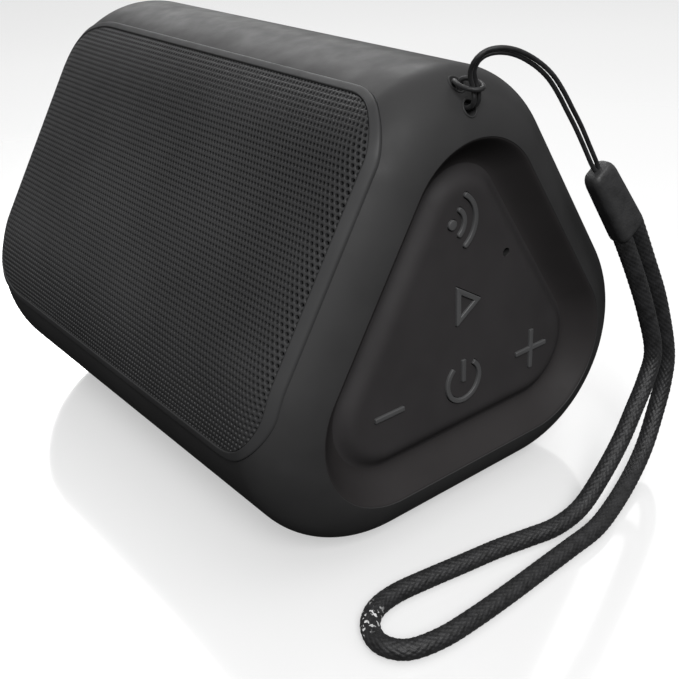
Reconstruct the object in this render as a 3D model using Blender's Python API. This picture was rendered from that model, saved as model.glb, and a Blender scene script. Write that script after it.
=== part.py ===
"""Portable three-sided shower speaker with a wrist strap.

The casing is a rounded triangular prism lying on one of its sides, with domed ends.  X runs along
the prism, the control end is at +X, the grille faces -Y and up, and the speaker rests on two rubber
feet at Z = 0.  Every length is in metres.
"""
import math

import bmesh
import bpy
from mathutils import Matrix, Vector

MM = 0.001
GAP = 0.3 * MM                       # clearance between neighbouring pieces

# Casing section: a triangle with three arcs for corners, standing FOOT_HEIGHT above the ground.
LENGTH = 106 * MM
HALF_BASE = 59.1 * MM                # half of the sharp-cornered triangle's base
APEX = 93 * MM                       # its height
BOTTOM_RADIUS = 24 * MM
TOP_RADIUS = 22.4 * MM
FOOT_HEIGHT = 1 * MM
SLOPE = math.atan2(APEX, HALF_BASE)  # the slanted sides' angle to the ground

# Domed ends: the section shrinks by up to DOME_INSET over the last DOME_LENGTH.
DOME_LENGTH = 10.4 * MM
DOME_INSET = 14 * MM
SKIN = 3.06 * MM                     # casing wall
MOUTH_INSET = 9.1 * MM               # the openings in both ends
LIP_X = 49.6 * MM                    # inner side of the lip around them
SKIN_END_X = 43.9 * MM               # where the casing's bore starts to narrow

# Front grille, measured along the skin: x, and w upwards from the flat side's lower end.
FLAT = math.hypot(HALF_BASE, APEX) - BOTTOM_RADIUS / math.tan(SLOPE / 2) \
    - TOP_RADIUS / math.tan(math.pi / 2 - SLOPE)
GRILLE_HALF_X = 48.7 * MM
GRILLE_W = (-16.4 * MM, FLAT + 12.6 * MM)
GRILLE_RADIUS = 11.6 * MM
FRAME_WIDTH = 1.5 * MM
FRAME_PROUD = 0.3 * MM
FRAME_DEPTH = 2.6 * MM

# Chassis: the acoustic box inside the casing.
CHASSIS_X = 43.5 * MM
CHASSIS_INSET = 3.4 * MM
CAVITY_INSET = 5.6 * MM
TRAY_S = (33.5 * MM, 82.5 * MM)      # driver tray, s measured up the slanted front
TRAY_DEPTH = 8 * MM
POCKET_S = (36 * MM, 80 * MM)
POCKET_X = 41 * MM
POCKET_DEPTH = 5.8 * MM
DRIVER_X = 21.5 * MM
DRIVER_S = 58 * MM
DRIVER_HOLE = 17.5 * MM

# End plates, their screws and the stack of parts behind the control end's face.
BOSS_RADIUS = 3 * MM
BOSS_START = 33.5 * MM
BOSS_END = 38.4 * MM
BOSS_FROM_WALL = 4.4 * MM            # each boss's axis, from the cavity's wall
END_PLATE_X = (38.7 * MM, 41.5 * MM)
BOARD_X = (43.1 * MM, 44.1 * MM)
PORT_BOARD_X = (42.1 * MM, 43.1 * MM)
SHEET_X = (44.4 * MM, 44.6 * MM)     # film that carries the snap domes
DOME_TOP = 45.0 * MM
PIP_X = 45.6 * MM                    # inner end of each key's pip
KEY_BASE_X = (47 * MM, 47.9 * MM)
PAD_X = 49.7 * MM                    # outer face of the pad
KEY_TOP_X = 50.05 * MM
KEY_TRAVEL = 0.5 * MM
STROKE = 0.42 * MM                   # half the width of a key's raised line

# Underside.
RADIATOR_WINDOW = (31 * MM, 10 * MM)
FOOT_Y = 13.6 * MM
FOOT_HALF = (34 * MM, 1.6 * MM)
GROUND_FLAT = FOOT_HEIGHT            # height of the casing's flat underside

# Port door.
DOOR_Z = (20.9 * MM, 34.6 * MM)
DOOR_HALF_Y = 15 * MM
DOOR_THICK = 1.7 * MM

BATTERY = Vector((0, 17, 21.5)) * MM
BATTERY_RADIUS = 9.1 * MM

# Wrist strap.
EYELET_RADIUS = 1.0 * MM
EYELET_Z = 69.6 * MM                 # the eyelet's hole in the end
EYELET_X = 47.9 * MM                 # the eyelet's hole in the top
CORD_DIAMETER = 0.7 * MM
STRAND_HALF_GAP = 0.42 * MM
STRAP_DIAMETER = 3 * MM
FERRULE_TOP = Vector((58.35, 19.4, 57.6)) * MM
FERRULE_BOTTOM = Vector((59.3, 26.9, 46.0)) * MM

# Middle of the thin doubled cord, from the hitch at the eyelet to the ferrule.
CORD_MIDDLE = [
    (51.5, 0, 73.0), (51.5, -0.5, 74.4), (51.9, -0.8, 75.6), (52.6, -0.5, 76.9), (53.3, 0.6, 77.7),
    (54.2, 2.5, 77.8), (55.0, 5.0, 77.0), (55.8, 7.7, 75.3), (56.4, 10.0, 73.2), (56.9, 11.8, 70.7),
    (57.3, 13.5, 67.9), (57.6, 15.4, 64.9), (57.95, 17.2, 61.6), (58.3, 19.1, 58.1),
]
# One side of the hitch, from the ends of those strands through the eyelet to the loop's crown.
CORD_HITCH = [
    (51.9, 0.48, 71.8), (51.8, 0.48, 70.6), (51.0, 0.47, 69.8), (49.8, 0.46, 69.6),
    (48.8, 0.46, 69.8), (48.1, 0.46, 70.5), (47.9, 0.47, 71.6), (47.9, 0.5, 72.9),
    (48.4, 0.95, 73.4), (49.6, 1.6, 73.2), (51.1, 1.65, 72.9), (52.3, 1.0, 72.7),
]
CORD_CROWN = (52.75, 0, 72.6)
# The braided loop, from the ferrule down to the ground, round, and back up to the ferrule.
LOOP_ROUTE = [
    (59.3, 28.55, 46.7), (59.7, 32.2, 39.2), (60.2, 35.9, 31.0), (61.0, 38.7, 20.6),
    (61.6, 38.0, 14.7), (62.4, 35.4, 9.6), (63.8, 31.2, 4.9), (65.8, 25.0, 2.2), (68.6, 16.8, 1.6),
    (70.5, 9.9, 1.6), (71.0, 3.3, 1.6), (71.4, -3.2, 1.6), (71.9, -11.2, 1.6), (72.2, -19.6, 1.6),
    (72.0, -26.0, 1.6), (70.5, -31.2, 1.6), (67.1, -33.3, 1.6), (63.5, -32.2, 1.6),
    (61.2, -29.2, 1.6), (60.6, -24.8, 1.6), (61.3, -19.0, 1.6), (62.4, -12.4, 1.6),
    (63.5, -5.6, 1.6), (64.8, 0.0, 1.6), (66.0, 5.6, 1.7), (66.0, 11.6, 2.6), (65.0, 18.0, 5.5),
    (63.8, 24.0, 9.2), (62.4, 29.0, 12.8), (61.4, 33.0, 16.6), (60.8, 35.2, 21.4),
    (60.2, 32.9, 29.6), (59.7, 29.4, 37.8), (59.3, 25.85, 44.9),
]


def make_material(name, colour, roughness, metallic=0.0):
    """A Principled material."""
    material = bpy.data.materials.new(name)
    material.use_nodes = True
    shader = material.node_tree.nodes["Principled BSDF"]
    shader.inputs["Base Color"].default_value = (*colour, 1)
    shader.inputs["Roughness"].default_value = roughness
    shader.inputs["Metallic"].default_value = metallic
    return material


def make_materials():
    """Every material of the speaker, by name."""
    return {
        "soft_touch": make_material("soft_touch", (0.030, 0.030, 0.031), 0.55),
        "frame_plastic": make_material("frame_plastic", (0.05, 0.05, 0.05), 0.5),
        "grille_steel": make_material("grille_steel", (0.045, 0.045, 0.047), 0.45, 0.6),
        "cloth": make_material("cloth", (0.01, 0.01, 0.01), 0.95),
        "foam": make_material("foam", (0.03, 0.03, 0.03), 0.95),
        "silicone": make_material("silicone", (0.026, 0.025, 0.026), 0.6),
        "key_rubber": make_material("key_rubber", (0.05, 0.05, 0.052), 0.5),
        "inner_plastic": make_material("inner_plastic", (0.06, 0.06, 0.065), 0.5),
        "rubber": make_material("rubber", (0.02, 0.02, 0.02), 0.8),
        "steel": make_material("steel", (0.6, 0.6, 0.6), 0.3, 1.0),
        "magnet": make_material("magnet", (0.12, 0.12, 0.12), 0.6, 0.3),
        "copper": make_material("copper", (0.7, 0.35, 0.18), 0.35, 1.0),
        "cone_paper": make_material("cone_paper", (0.04, 0.04, 0.04), 0.8),
        "board_green": make_material("board_green", (0.02, 0.12, 0.05), 0.4),
        "chip_black": make_material("chip_black", (0.02, 0.02, 0.02), 0.5),
        "battery_wrap": make_material("battery_wrap", (0.05, 0.2, 0.5), 0.4),
        "light_pipe": make_material("light_pipe", (0.8, 0.8, 0.8), 0.2),
        "strap_braid": make_material("strap_braid", (0.012, 0.012, 0.013), 0.85),
        "ferrule_plastic": make_material("ferrule_plastic", (0.03, 0.03, 0.032), 0.55),
    }


def clear_scene():
    """Remove whatever objects the scene holds."""
    for ob in list(bpy.data.objects):
        bpy.data.objects.remove(ob, do_unlink=True)


# ---------------------------------------------------------------- mesh building

def add_mesh(name, bm, material=None, origin=None, parent=None):
    """Turn a bmesh into an object; origin becomes the object's location."""
    bmesh.ops.recalc_face_normals(bm, faces=bm.faces)
    if bm.calc_volume(signed=True) < 0:
        bmesh.ops.reverse_faces(bm, faces=bm.faces)
    if origin is not None:
        bm.transform(Matrix.Translation(-Vector(origin)))
    mesh = bpy.data.meshes.new(name)
    bm.to_mesh(mesh)
    bm.free()
    ob = bpy.data.objects.new(name, mesh)
    bpy.context.scene.collection.objects.link(ob)
    if origin is not None:
        ob.location = origin
    if material is not None:
        mesh.materials.append(material)
    if parent is not None:
        ob.parent = parent
    shade(ob)
    return ob


def shade(ob):
    """Smooth shading with sharp edges kept."""
    ob.data.shade_smooth()
    ob.data.set_sharp_from_angle(angle=math.radians(32))


def loft(name, rings, material=None, closed=False, **place):
    """Skin over rings of points: closed into a tube, or with both end rings filled."""
    bm = bmesh.new()
    loops = [[bm.verts.new(p) for p in ring] for ring in rings]
    pairs = list(zip(loops, loops[1:]))
    if closed:
        pairs.append((loops[-1], loops[0]))
    for low, high in pairs:
        for i in range(len(low)):
            j = (i + 1) % len(low)
            bm.faces.new((low[i], low[j], high[j], high[i]))
    if not closed:
        bm.faces.new(loops[0])
        bm.faces.new(loops[-1])
    return add_mesh(name, bm, material, **place)


def turned(name, profile, matrix, material=None, steps=20, **place):
    """Revolve (radius, height) points about local Z; points at radius 0 become poles."""
    bm = bmesh.new()
    rings = []
    for radius, height in profile:
        if radius == 0:
            rings.append([bm.verts.new(matrix @ Vector((0, 0, height)))])
        else:
            angles = [2 * math.pi * i / steps for i in range(steps)]
            rings.append([bm.verts.new(matrix @ Vector((radius * math.cos(a), radius * math.sin(a),
                                                        height))) for a in angles])
    pairs = list(zip(rings, rings[1:]))
    if profile[0][0] > 0 or profile[-1][0] > 0:
        pairs.append((rings[-1], rings[0]))
    for low, high in pairs:
        for i in range(steps):
            j = (i + 1) % steps
            if len(low) == 1:
                bm.faces.new((low[0], high[j], high[i]))
            elif len(high) == 1:
                bm.faces.new((low[i], low[j], high[0]))
            else:
                bm.faces.new((low[i], low[j], high[j], high[i]))
    return add_mesh(name, bm, material, **place)


def cylinder(name, radius, low, high, matrix, material=None, steps=20, **place):
    """A plain cylinder along local Z."""
    profile = [(0, low), (radius, low), (radius, high), (0, high)]
    return turned(name, profile, matrix, material, steps, **place)


def box(name, low, high, matrix=None, material=None, bevel=0.0, **place):
    """A box between two corners, with its edges rounded if bevel is given."""
    low, high = Vector(low), Vector(high)
    bm = bmesh.new()
    bmesh.ops.create_cube(bm, size=1)
    size = high - low
    bm.transform(Matrix.Translation((low + high) / 2) @ Matrix.Diagonal((*size, 1)))
    if bevel:
        bmesh.ops.bevel(bm, geom=bm.edges[:], offset=bevel, segments=1, affect="EDGES")
    if matrix is not None:
        bm.transform(matrix)
    return add_mesh(name, bm, material, **place)


def triangulate(ob):
    """Split every face into triangles, which are always flat."""
    bm = bmesh.new()
    bm.from_mesh(ob.data)
    bmesh.ops.triangulate(bm, faces=bm.faces)
    bm.to_mesh(ob.data)
    bm.free()


def boolean(target, tools, operation="DIFFERENCE"):
    """Cut the tools from target, or unite them with it, and remove them."""
    for tool in tools:
        tool.hide_render = True
        tool.display_type = "WIRE"
        triangulate(target)
        triangulate(tool)
        change = target.modifiers.new("boolean", "BOOLEAN")
        change.operation = operation
        change.solver = "EXACT"
        change.object = tool
        bpy.context.view_layer.update()
        graph = bpy.context.evaluated_depsgraph_get()
        mesh = bpy.data.meshes.new_from_object(target.evaluated_get(graph))
        target.modifiers.clear()
        target.data = mesh
        bpy.data.objects.remove(tool, do_unlink=True)
    shade(target)
    return target


# ---------------------------------------------------------------- the casing's section

def section_samples():
    """(point, outward normal) pairs round the section, starting at the flat's front end."""
    bottom_y = HALF_BASE - BOTTOM_RADIUS / math.tan(SLOPE / 2)
    top_z = APEX - TOP_RADIUS / math.cos(SLOPE)
    front = math.pi / 2 + SLOPE
    rear = math.pi / 2 - SLOPE
    arcs = [
        ((-bottom_y, BOTTOM_RADIUS), BOTTOM_RADIUS, 1.5 * math.pi, front, 10),
        ((0, top_z), TOP_RADIUS, front, rear, 10),
        ((bottom_y, BOTTOM_RADIUS), BOTTOM_RADIUS, rear, -math.pi / 2, 10),
    ]
    samples = []
    for (cy, cz), radius, start, end, steps in arcs:
        for i in range(steps + 1):
            a = start + (end - start) * i / steps
            normal = Vector((0, math.cos(a), math.sin(a)))
            samples.append((Vector((0, cy, cz + FOOT_HEIGHT)) + normal * radius, normal))
    return samples


SECTION = section_samples()


def dome_inset(x):
    """How far the section has shrunk at x."""
    q = max(0.0, (abs(x) - (LENGTH / 2 - DOME_LENGTH)) / DOME_LENGTH)
    return DOME_INSET * (1 - math.sqrt(max(0.0, 1 - q * q)))


def dome_x(inset):
    """Where the section has shrunk by inset."""
    return LENGTH / 2 - DOME_LENGTH + DOME_LENGTH * math.sqrt(1 - (1 - inset / DOME_INSET) ** 2)


def ring_at(x, inset):
    """The section at x, moved inwards by inset."""
    return [Vector((x, p.y - n.y * inset, p.z - n.z * inset)) for p, n in SECTION]


def section_loft(name, profile, material=None, closed=False, mirror=False, **place):
    """Loft through (x, inset) pairs in millimetres, at the other end if mirror is set."""
    side = -MM if mirror else MM
    rings = [ring_at(x * side, inset * MM) for x, inset in profile]
    return loft(name, rings, material, closed, **place)


def front_point(x, w, out):
    """A point on the front: w along the section's outline, out from the skin."""
    front = math.pi / 2 + SLOPE
    bottom_y = HALF_BASE - BOTTOM_RADIUS / math.tan(SLOPE / 2)
    up = Vector((0, math.cos(SLOPE), math.sin(SLOPE)))
    if w < 0:
        a = front - w / BOTTOM_RADIUS
        centre = Vector((0, -bottom_y, BOTTOM_RADIUS))
        radius, rise = BOTTOM_RADIUS, 0.0
    elif w > FLAT:
        a = front - (w - FLAT) / TOP_RADIUS
        centre = Vector((0, 0, APEX - TOP_RADIUS / math.cos(SLOPE)))
        radius, rise = TOP_RADIUS, 0.0
    else:
        a = front
        centre = Vector((0, -bottom_y, BOTTOM_RADIUS))
        radius, rise = BOTTOM_RADIUS, w
    normal = Vector((0, math.cos(a), math.sin(a)))
    point = centre + normal * (radius + out - dome_inset(x)) + up * rise
    return Vector((x, point.y, point.z + FOOT_HEIGHT))


def rounded_loop(half_x, low, high, radius, x_steps=6, w_steps=8, corner_steps=5):
    """A rounded rectangle as (x, w) pairs, anticlockwise, with points along its straight edges."""
    corners = [
        (half_x - radius, low + radius, -90), (half_x - radius, high - radius, 0),
        (-half_x + radius, high - radius, 90), (-half_x + radius, low + radius, 180),
    ]
    points = []
    for i, (cx, cw, start) in enumerate(corners):
        for k in range(corner_steps + 1):
            a = math.radians(start + 90 * k / corner_steps)
            points.append((cx + radius * math.cos(a), cw + radius * math.sin(a)))
        after = corners[(i + 1) % 4]
        turn = math.radians(after[2])
        end = (after[0] + radius * math.cos(turn), after[1] + radius * math.sin(turn))
        begin = points[-1]
        steps = w_steps if i % 2 == 0 else x_steps
        for k in range(1, steps):
            points.append((begin[0] + (end[0] - begin[0]) * k / steps,
                           begin[1] + (end[1] - begin[1]) * k / steps))
    return points


def front_loop(shrink):
    """The grille frame's outline, shrunk by shrink all round."""
    low, high = GRILLE_W
    return rounded_loop(GRILLE_HALF_X - shrink, low + shrink, high - shrink,
                        GRILLE_RADIUS - shrink)


def front_ring(name, outer, inner, low, high, material=None):
    """A band that follows the front, between two shrinks and two heights."""
    outer, inner = front_loop(outer), front_loop(inner)
    rings = [[front_point(x, w, h) for x, w in loop]
             for loop, h in ((outer, low), (outer, high), (inner, high), (inner, low))]
    return loft(name, rings, material, closed=True)


def front_panel(name, shrink, low, high, material=None):
    """A sheet that follows the front, between two heights."""
    loop = front_loop(shrink)
    middle = sum(GRILLE_W) / 2
    scales = (0.4, 0.7, 0.86, 0.94, 1.0)

    def ring(scale, height):
        return [front_point(x * scale, middle + (w - middle) * scale, height) for x, w in loop]

    rings = [ring(s, low) for s in scales] + [ring(s, high) for s in reversed(scales)]
    return loft(name, rings, material)


def slope_frame(side):
    """Axes of a slanted side: x along it, y up the slope from the sharp corner, z out."""
    up = Vector((0, -side * math.cos(SLOPE), math.sin(SLOPE)))
    out = Vector((0, side * math.sin(SLOPE), math.cos(SLOPE)))
    along = Vector((-side, 0, 0))
    origin = Vector((0, side * HALF_BASE, FOOT_HEIGHT))
    matrix = Matrix((along, up, out)).transposed().to_4x4()
    return Matrix.Translation(origin) @ matrix


def along_x(y, z):
    """A frame whose local Z is world X, through (y, z)."""
    return Matrix.Translation((0, y, z)) @ Matrix.Rotation(math.pi / 2, 4, "Y")


# ---------------------------------------------------------------- casing and chassis

def plan_stack(name, levels, material=None, closed=False, corner=3, **place):
    """Loft rounded rectangles in plan: (half x, half y, corner radius, z) in metres."""
    rings = []
    for half_x, half_y, radius, z in levels:
        loop = rounded_loop(half_x, -half_y, half_y, radius, 1, 1, corner)
        rings.append([Vector((x, y, z)) for x, y in loop])
    return loft(name, rings, material, closed, **place)


def make_casing(mats):
    """Outer soft-touch casing, open at the grille, the ends and the underside."""
    insets = [0, 0.5, 1.5, 3, 5, 7, MOUTH_INSET / MM]
    outer = [(dome_x(i * MM) / MM, i) for i in insets]
    mouth = MOUTH_INSET / MM
    half = outer + [(LIP_X / MM, mouth), (SKIN_END_X / MM, SKIN / MM)]
    profile = [(-x, i) for x, i in reversed(outer)] + half
    profile += [(-SKIN_END_X / MM, SKIN / MM), (-LIP_X / MM, mouth)]
    casing = section_loft("casing", profile, mats["soft_touch"], closed=True)
    cutters = [front_panel("front_cutter", -GAP, -4.6 * MM, 2 * MM)]
    half_x, half_y = RADIATOR_WINDOW
    cutters.append(plan_stack("under_cutter", [(half_x, half_y, 4 * MM, -1 * MM),
                                               (half_x, half_y, 4 * MM, 6 * MM)]))
    for side in (-1, 1):
        low = (-FOOT_HALF[0] - GAP, side * FOOT_Y - FOOT_HALF[1] - GAP, 0)
        high = (FOOT_HALF[0] + GAP, side * FOOT_Y + FOOT_HALF[1] + GAP, GROUND_FLAT + 1 * MM)
        cutters.append(box("foot_cutter", low, high))
    cutters.append(cylinder("eyelet_end", EYELET_RADIUS, 46.95 * MM, 54 * MM, along_x(0, EYELET_Z),
                            steps=16))
    cutters.append(cylinder("eyelet_top", EYELET_RADIUS, EYELET_Z - 0.9 * MM, 76 * MM,
                            Matrix.Translation((EYELET_X, 0, 0)), steps=16))
    return boolean(casing, cutters)


def boss_places():
    """(y, z) of the screw bosses in the three corners, with the way out to each corner."""
    bottom_y = HALF_BASE - BOTTOM_RADIUS / math.tan(SLOPE / 2)
    top_z = APEX - TOP_RADIUS / math.cos(SLOPE)
    places = []
    for y, z, radius, angle in ((-bottom_y, BOTTOM_RADIUS, BOTTOM_RADIUS, 209),
                                (bottom_y, BOTTOM_RADIUS, BOTTOM_RADIUS, 331),
                                (0, top_z, TOP_RADIUS, 90)):
        out = (math.cos(math.radians(angle)), math.sin(math.radians(angle)))
        reach = radius - CAVITY_INSET - BOSS_FROM_WALL
        places.append((y + out[0] * reach, z + FOOT_HEIGHT + out[1] * reach, out))
    return places


def make_chassis(mats):
    """Acoustic box: a tube with a tray for the drivers, bosses and board posts."""
    chassis = section_loft("chassis", [(-CHASSIS_X / MM, CHASSIS_INSET / MM),
                                       (CHASSIS_X / MM, CHASSIS_INSET / MM)], mats["inner_plastic"])
    front = slope_frame(-1)
    cavity = section_loft("cavity", [(-50, CAVITY_INSET / MM), (50, CAVITY_INSET / MM)])
    tray = box("tray", (-60 * MM, TRAY_S[0], -TRAY_DEPTH), (60 * MM, TRAY_S[1], 5 * MM), front)
    boolean(cavity, [tray])
    pocket = box("pocket", (-POCKET_X, POCKET_S[0], -POCKET_DEPTH), (POCKET_X, POCKET_S[1], 5 * MM),
                 front)
    holes = []
    for side in (-1, 1):
        spot = front @ Matrix.Translation((side * DRIVER_X, DRIVER_S, 0))
        holes.append(cylinder("driver_hole", DRIVER_HOLE, -12 * MM, 0, spot, steps=32))
    half_x, half_y = RADIATOR_WINDOW
    window = plan_stack("window", [(half_x - 5 * MM, half_y - 1 * MM, 4 * MM, 2 * MM),
                                   (half_x - 5 * MM, half_y - 1 * MM, 4 * MM, 8 * MM)])
    boolean(chassis, [cavity, pocket, window] + holes)
    for side in (-1, 1):
        for y, z, out in boss_places():
            low, high = sorted((side * BOSS_START, side * BOSS_END))
            web_end = BOSS_FROM_WALL + 1 * MM
            shape = arc((0, 0), BOSS_RADIUS, 25, 335, 12)
            shape += [(web_end, shape[-1][1]), (web_end, shape[0][1])]
            shape = [(out[0] * a - out[1] * b, out[1] * a + out[0] * b) for a, b in shape]
            boolean(chassis, [prism("boss", shape, (y, z), low, high)], "UNION")
            pilot_low, pilot_high = sorted((side * (BOSS_START + 0.7 * MM), side * 40 * MM))
            boolean(chassis, [cylinder("pilot", 1.4 * MM, pilot_low, pilot_high, along_x(y, z),
                                       steps=10)])
    return chassis


def make_front(mats):
    """Grille frame, perforated sheet, backing cloth and foam seal."""
    front_ring("grille_frame", 0, FRAME_WIDTH, -FRAME_DEPTH, FRAME_PROUD, mats["frame_plastic"])
    front_panel("front_grille", FRAME_WIDTH + GAP, -1.1 * MM, -0.2 * MM, mats["grille_steel"])
    front_panel("grille_cloth", FRAME_WIDTH + 4 * MM, -1.8 * MM, -1.4 * MM, mats["cloth"])
    front_ring("foam_seal", FRAME_WIDTH + 0.6 * MM, FRAME_WIDTH + 3.6 * MM, -2.9 * MM, -1.4 * MM,
               mats["foam"])


# ---------------------------------------------------------------- speakers

BASKET = [(19, -5.5), (19, -4.3), (16.4, -4.3), (16, -5.2), (10.2, -12.6), (7.6, -12.6),
          (7.6, -13.8), (10.9, -13.8), (16.9, -5.5)]
MAGNET = [(6.2, -18.6), (11.6, -18.6), (11.6, -14.1), (6.2, -14.1)]
YOKE = [(0, -21.2), (11.2, -21.2), (11.2, -18.9), (4.2, -18.9), (4.2, -13.2), (0, -13.2)]
COIL = [(4.9, -17.4), (5.6, -17.4), (5.6, -11), (4.9, -11)]
CONE = [(0, -9.4), (4.6, -10.7), (6, -10.7), (13, -6), (13, -5.3), (5.9, -9.9), (4.2, -8.9),
        (0, -8.2)]
SURROUND = [(13.3, -5.3), (13.3, -4.8), (14.4, -3.6), (15.8, -3.1), (17.2, -3.4), (18.6, -3.4),
            (18.6, -4), (17, -4), (15.8, -3.8), (14.8, -4.3), (13.9, -5.3)]


def driver_frame(side):
    """An empty at a driver's place on the front, its Z out of the grille."""
    empty = bpy.data.objects.new("driver_frame_right" if side > 0 else "driver_frame_left", None)
    bpy.context.scene.collection.objects.link(empty)
    empty.location = slope_frame(-1) @ Vector((side * DRIVER_X, DRIVER_S, 0))
    empty.rotation_euler = (SLOPE, 0, 0)
    return empty


def make_driver(side, mats):
    """One loudspeaker: basket, magnet, yoke, surround, and the moving cone with its coil."""
    end = "right" if side > 0 else "left"
    frame = driver_frame(side)
    parts = [("driver_basket", BASKET, "inner_plastic"), ("driver_magnet", MAGNET, "magnet"),
             ("driver_yoke", YOKE, "steel"), ("driver_surround", SURROUND, "rubber"),
             ("driver_cone", CONE, "cone_paper"), ("voice_coil", COIL, "copper")]
    for name, profile, material in parts:
        points = [(r * MM, h * MM) for r, h in profile]
        turned(f"{name}_{end}", points, Matrix.Identity(4), mats[material], parent=frame)


def screw_profile(head, head_thick, shank, length):
    """Pan head screw, its head's underside at height 0 and the shank below."""
    return [(0, -length), (shank, -length), (shank, 0), (head, 0), (head, head_thick * 0.7),
            (head * 0.7, head_thick), (0, head_thick)]


# ---------------------------------------------------------------- control end

BEZEL = [(43.8, 4.1), (44.4, 4.1), (49.3, 9.4), (51.4, 9.4), (48.2, 13.3), (46.4, 13.3),
         (46.4, 10.6), (43.8, 7.8)]
PAD = [(48.3, 17), (45, 17), (45, 11.2), (46.1, 11.2), (46.1, 13.6), (47.9, 13.6), (49.3, 15.2),
       (49.7, 16.1)]


def arc(centre, radius, start, end, steps):
    """Points on an arc in the (y, z) plane, angles in degrees."""
    angles = [math.radians(start + (end - start) * i / steps) for i in range(steps + 1)]
    return [(centre[0] + radius * math.cos(a), centre[1] + radius * math.sin(a)) for a in angles]


def stroke(path, half):
    """Outline of a line of constant width with round ends, following path."""
    count = len(path)
    headings = []
    for i in range(count):
        a, b = path[max(0, i - 1)], path[min(count - 1, i + 1)]
        headings.append(math.atan2(b[1] - a[1], b[0] - a[0]))
    left = [(p[0] - half * math.sin(h), p[1] + half * math.cos(h)) for p, h in zip(path, headings)]
    right = [(p[0] + half * math.sin(h), p[1] - half * math.cos(h)) for p, h in zip(path, headings)]
    tail = math.degrees(headings[-1])
    nose = math.degrees(headings[0])
    end_cap = arc(path[-1], half, tail + 90, tail - 90, 4)[1:-1]
    start_cap = arc(path[0], half, nose - 90, nose - 270, 4)[1:-1]
    return left + end_cap + right[::-1] + start_cap


def glyph_waves(half):
    """A dot with two arcs: pairing."""
    dot = arc((-2.6 * MM, 0), 0.35 * MM + half, 0, 324, 9)
    near = stroke(arc((-2.6 * MM, 0), 2.5 * MM, -52, 52, 6), half)
    far = stroke(arc((-2.6 * MM, 0), 4.9 * MM, -55, 55, 9), half)
    return [dot, near, far]


def triangle(half_height, length, grow):
    """A triangle pointing to +y, grown by grow all round."""
    slant = math.hypot(half_height, length)
    inradius = half_height * length / (half_height + slant)
    scale = (inradius + grow) / inradius
    middle = -length / 2 + inradius
    corners = [(-length / 2, -half_height), (length / 2, 0), (-length / 2, half_height)]
    return [(middle + (y - middle) * scale, z * scale) for y, z in corners]


def glyph_play(half):
    """A triangle: play and pause."""
    return [triangle(3.45 * MM, 5.3 * MM, half - STROKE)]


def glyph_power(half):
    """An open ring with a bar in its gap: power."""
    ring = stroke(arc((0, -0.15 * MM), 3.5 * MM, 130, 410, 14), half)
    bar = stroke([(0, -0.1 * MM), (0, 3.6 * MM)], half)
    return [ring, bar]


def glyph_minus(half):
    """A bar: quieter."""
    return [stroke([(-2.8 * MM, 0), (2.8 * MM, 0)], half)]


def glyph_plus(half):
    """A cross: louder."""
    arm = 3.5 * MM + half
    corner = [(half, half), (half, arm), (-half, arm), (-half, half), (-arm, half), (-arm, -half),
              (-half, -half), (-half, -arm), (half, -arm), (half, -half), (arm, -half), (arm, half)]
    return [corner]


KEYS = {
    "link": ((0, 52.4), 4.9, glyph_waves),
    "play": ((1.0, 38.5), 4.5, glyph_play),
    "power": ((0, 24.9), 4.8, glyph_power),
    "minus": ((-15.8, 24.9), 4.2, glyph_minus),
    "plus": ((15.8, 24.9), 4.7, glyph_plus),
}
MICROPHONE = (9.3 * MM, 44.5 * MM)


def prism(name, outline, centre, low, high, material=None):
    """A (y, z) outline about centre, drawn out along X."""
    rings = [[Vector((x, centre[0] + y, centre[1] + z)) for y, z in outline] for x in (low, high)]
    return loft(name, rings, material)


def make_key(name, mats):
    """A key: a round base with its raised sign, and the pip that presses its dome."""
    (y, z), radius, glyph = KEYS[name]
    centre = (y * MM, z * MM)
    axis = along_x(*centre) @ Matrix.Rotation(math.radians(4), 4, "Z")
    key = cylinder(f"key_{name}", radius * MM, *KEY_BASE_X, axis, mats["key_rubber"], 20)
    stems = [prism("stem", outline, centre, KEY_BASE_X[1] - 0.4 * MM, KEY_TOP_X)
             for outline in glyph(STROKE)]
    boolean(key, stems, "UNION")
    if name == "play":
        inner = triangle(3.45 * MM, 5.3 * MM, -2 * STROKE)
        boolean(key, [prism("recess", inner, centre, PAD_X - 0.05 * MM, 52 * MM)])
    pip = cylinder("pip", 1.1 * MM, PIP_X, KEY_BASE_X[0] + 0.3 * MM, axis, steps=10)
    boolean(key, [pip], "UNION")
    seat = Vector((KEY_TOP_X, *centre))
    key.data.transform(Matrix.Translation(-seat))
    key.location = seat


def make_control_end(mats):
    """Recess wall, soft pad, keys, and the board with its snap domes and microphone."""
    section_loft("control_bezel", BEZEL, mats["soft_touch"], closed=True)
    pad = section_loft("control_pad", PAD, mats["silicone"])
    slots = []
    for (y, z), _, glyph in KEYS.values():
        for outline in glyph(STROKE + GAP):
            slots.append(prism("slot", outline, (y * MM, z * MM), 47.5 * MM, 52 * MM))
    slots.append(cylinder("mic_hole", 0.6 * MM, 47 * MM, 52 * MM, along_x(*MICROPHONE), steps=12))
    boolean(pad, slots)
    for name in KEYS:
        make_key(name, mats)
    make_dome_sheet(mats)
    board = [(BOARD_X[0] / MM, 16.2), (BOARD_X[1] / MM, 16.2)]
    section_loft("key_board", board, mats["board_green"])
    cylinder("microphone", 1.5 * MM, SHEET_X[0], 45.6 * MM, along_x(*MICROPHONE), mats["steel"], 14)
    low = (-42.8 * MM, 60 * MM, -11.1 * MM)
    high = (-38.3 * MM, 68 * MM, -10.5 * MM)
    box("ribbon_cable", low, high, slope_frame(1), mats["copper"])


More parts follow.
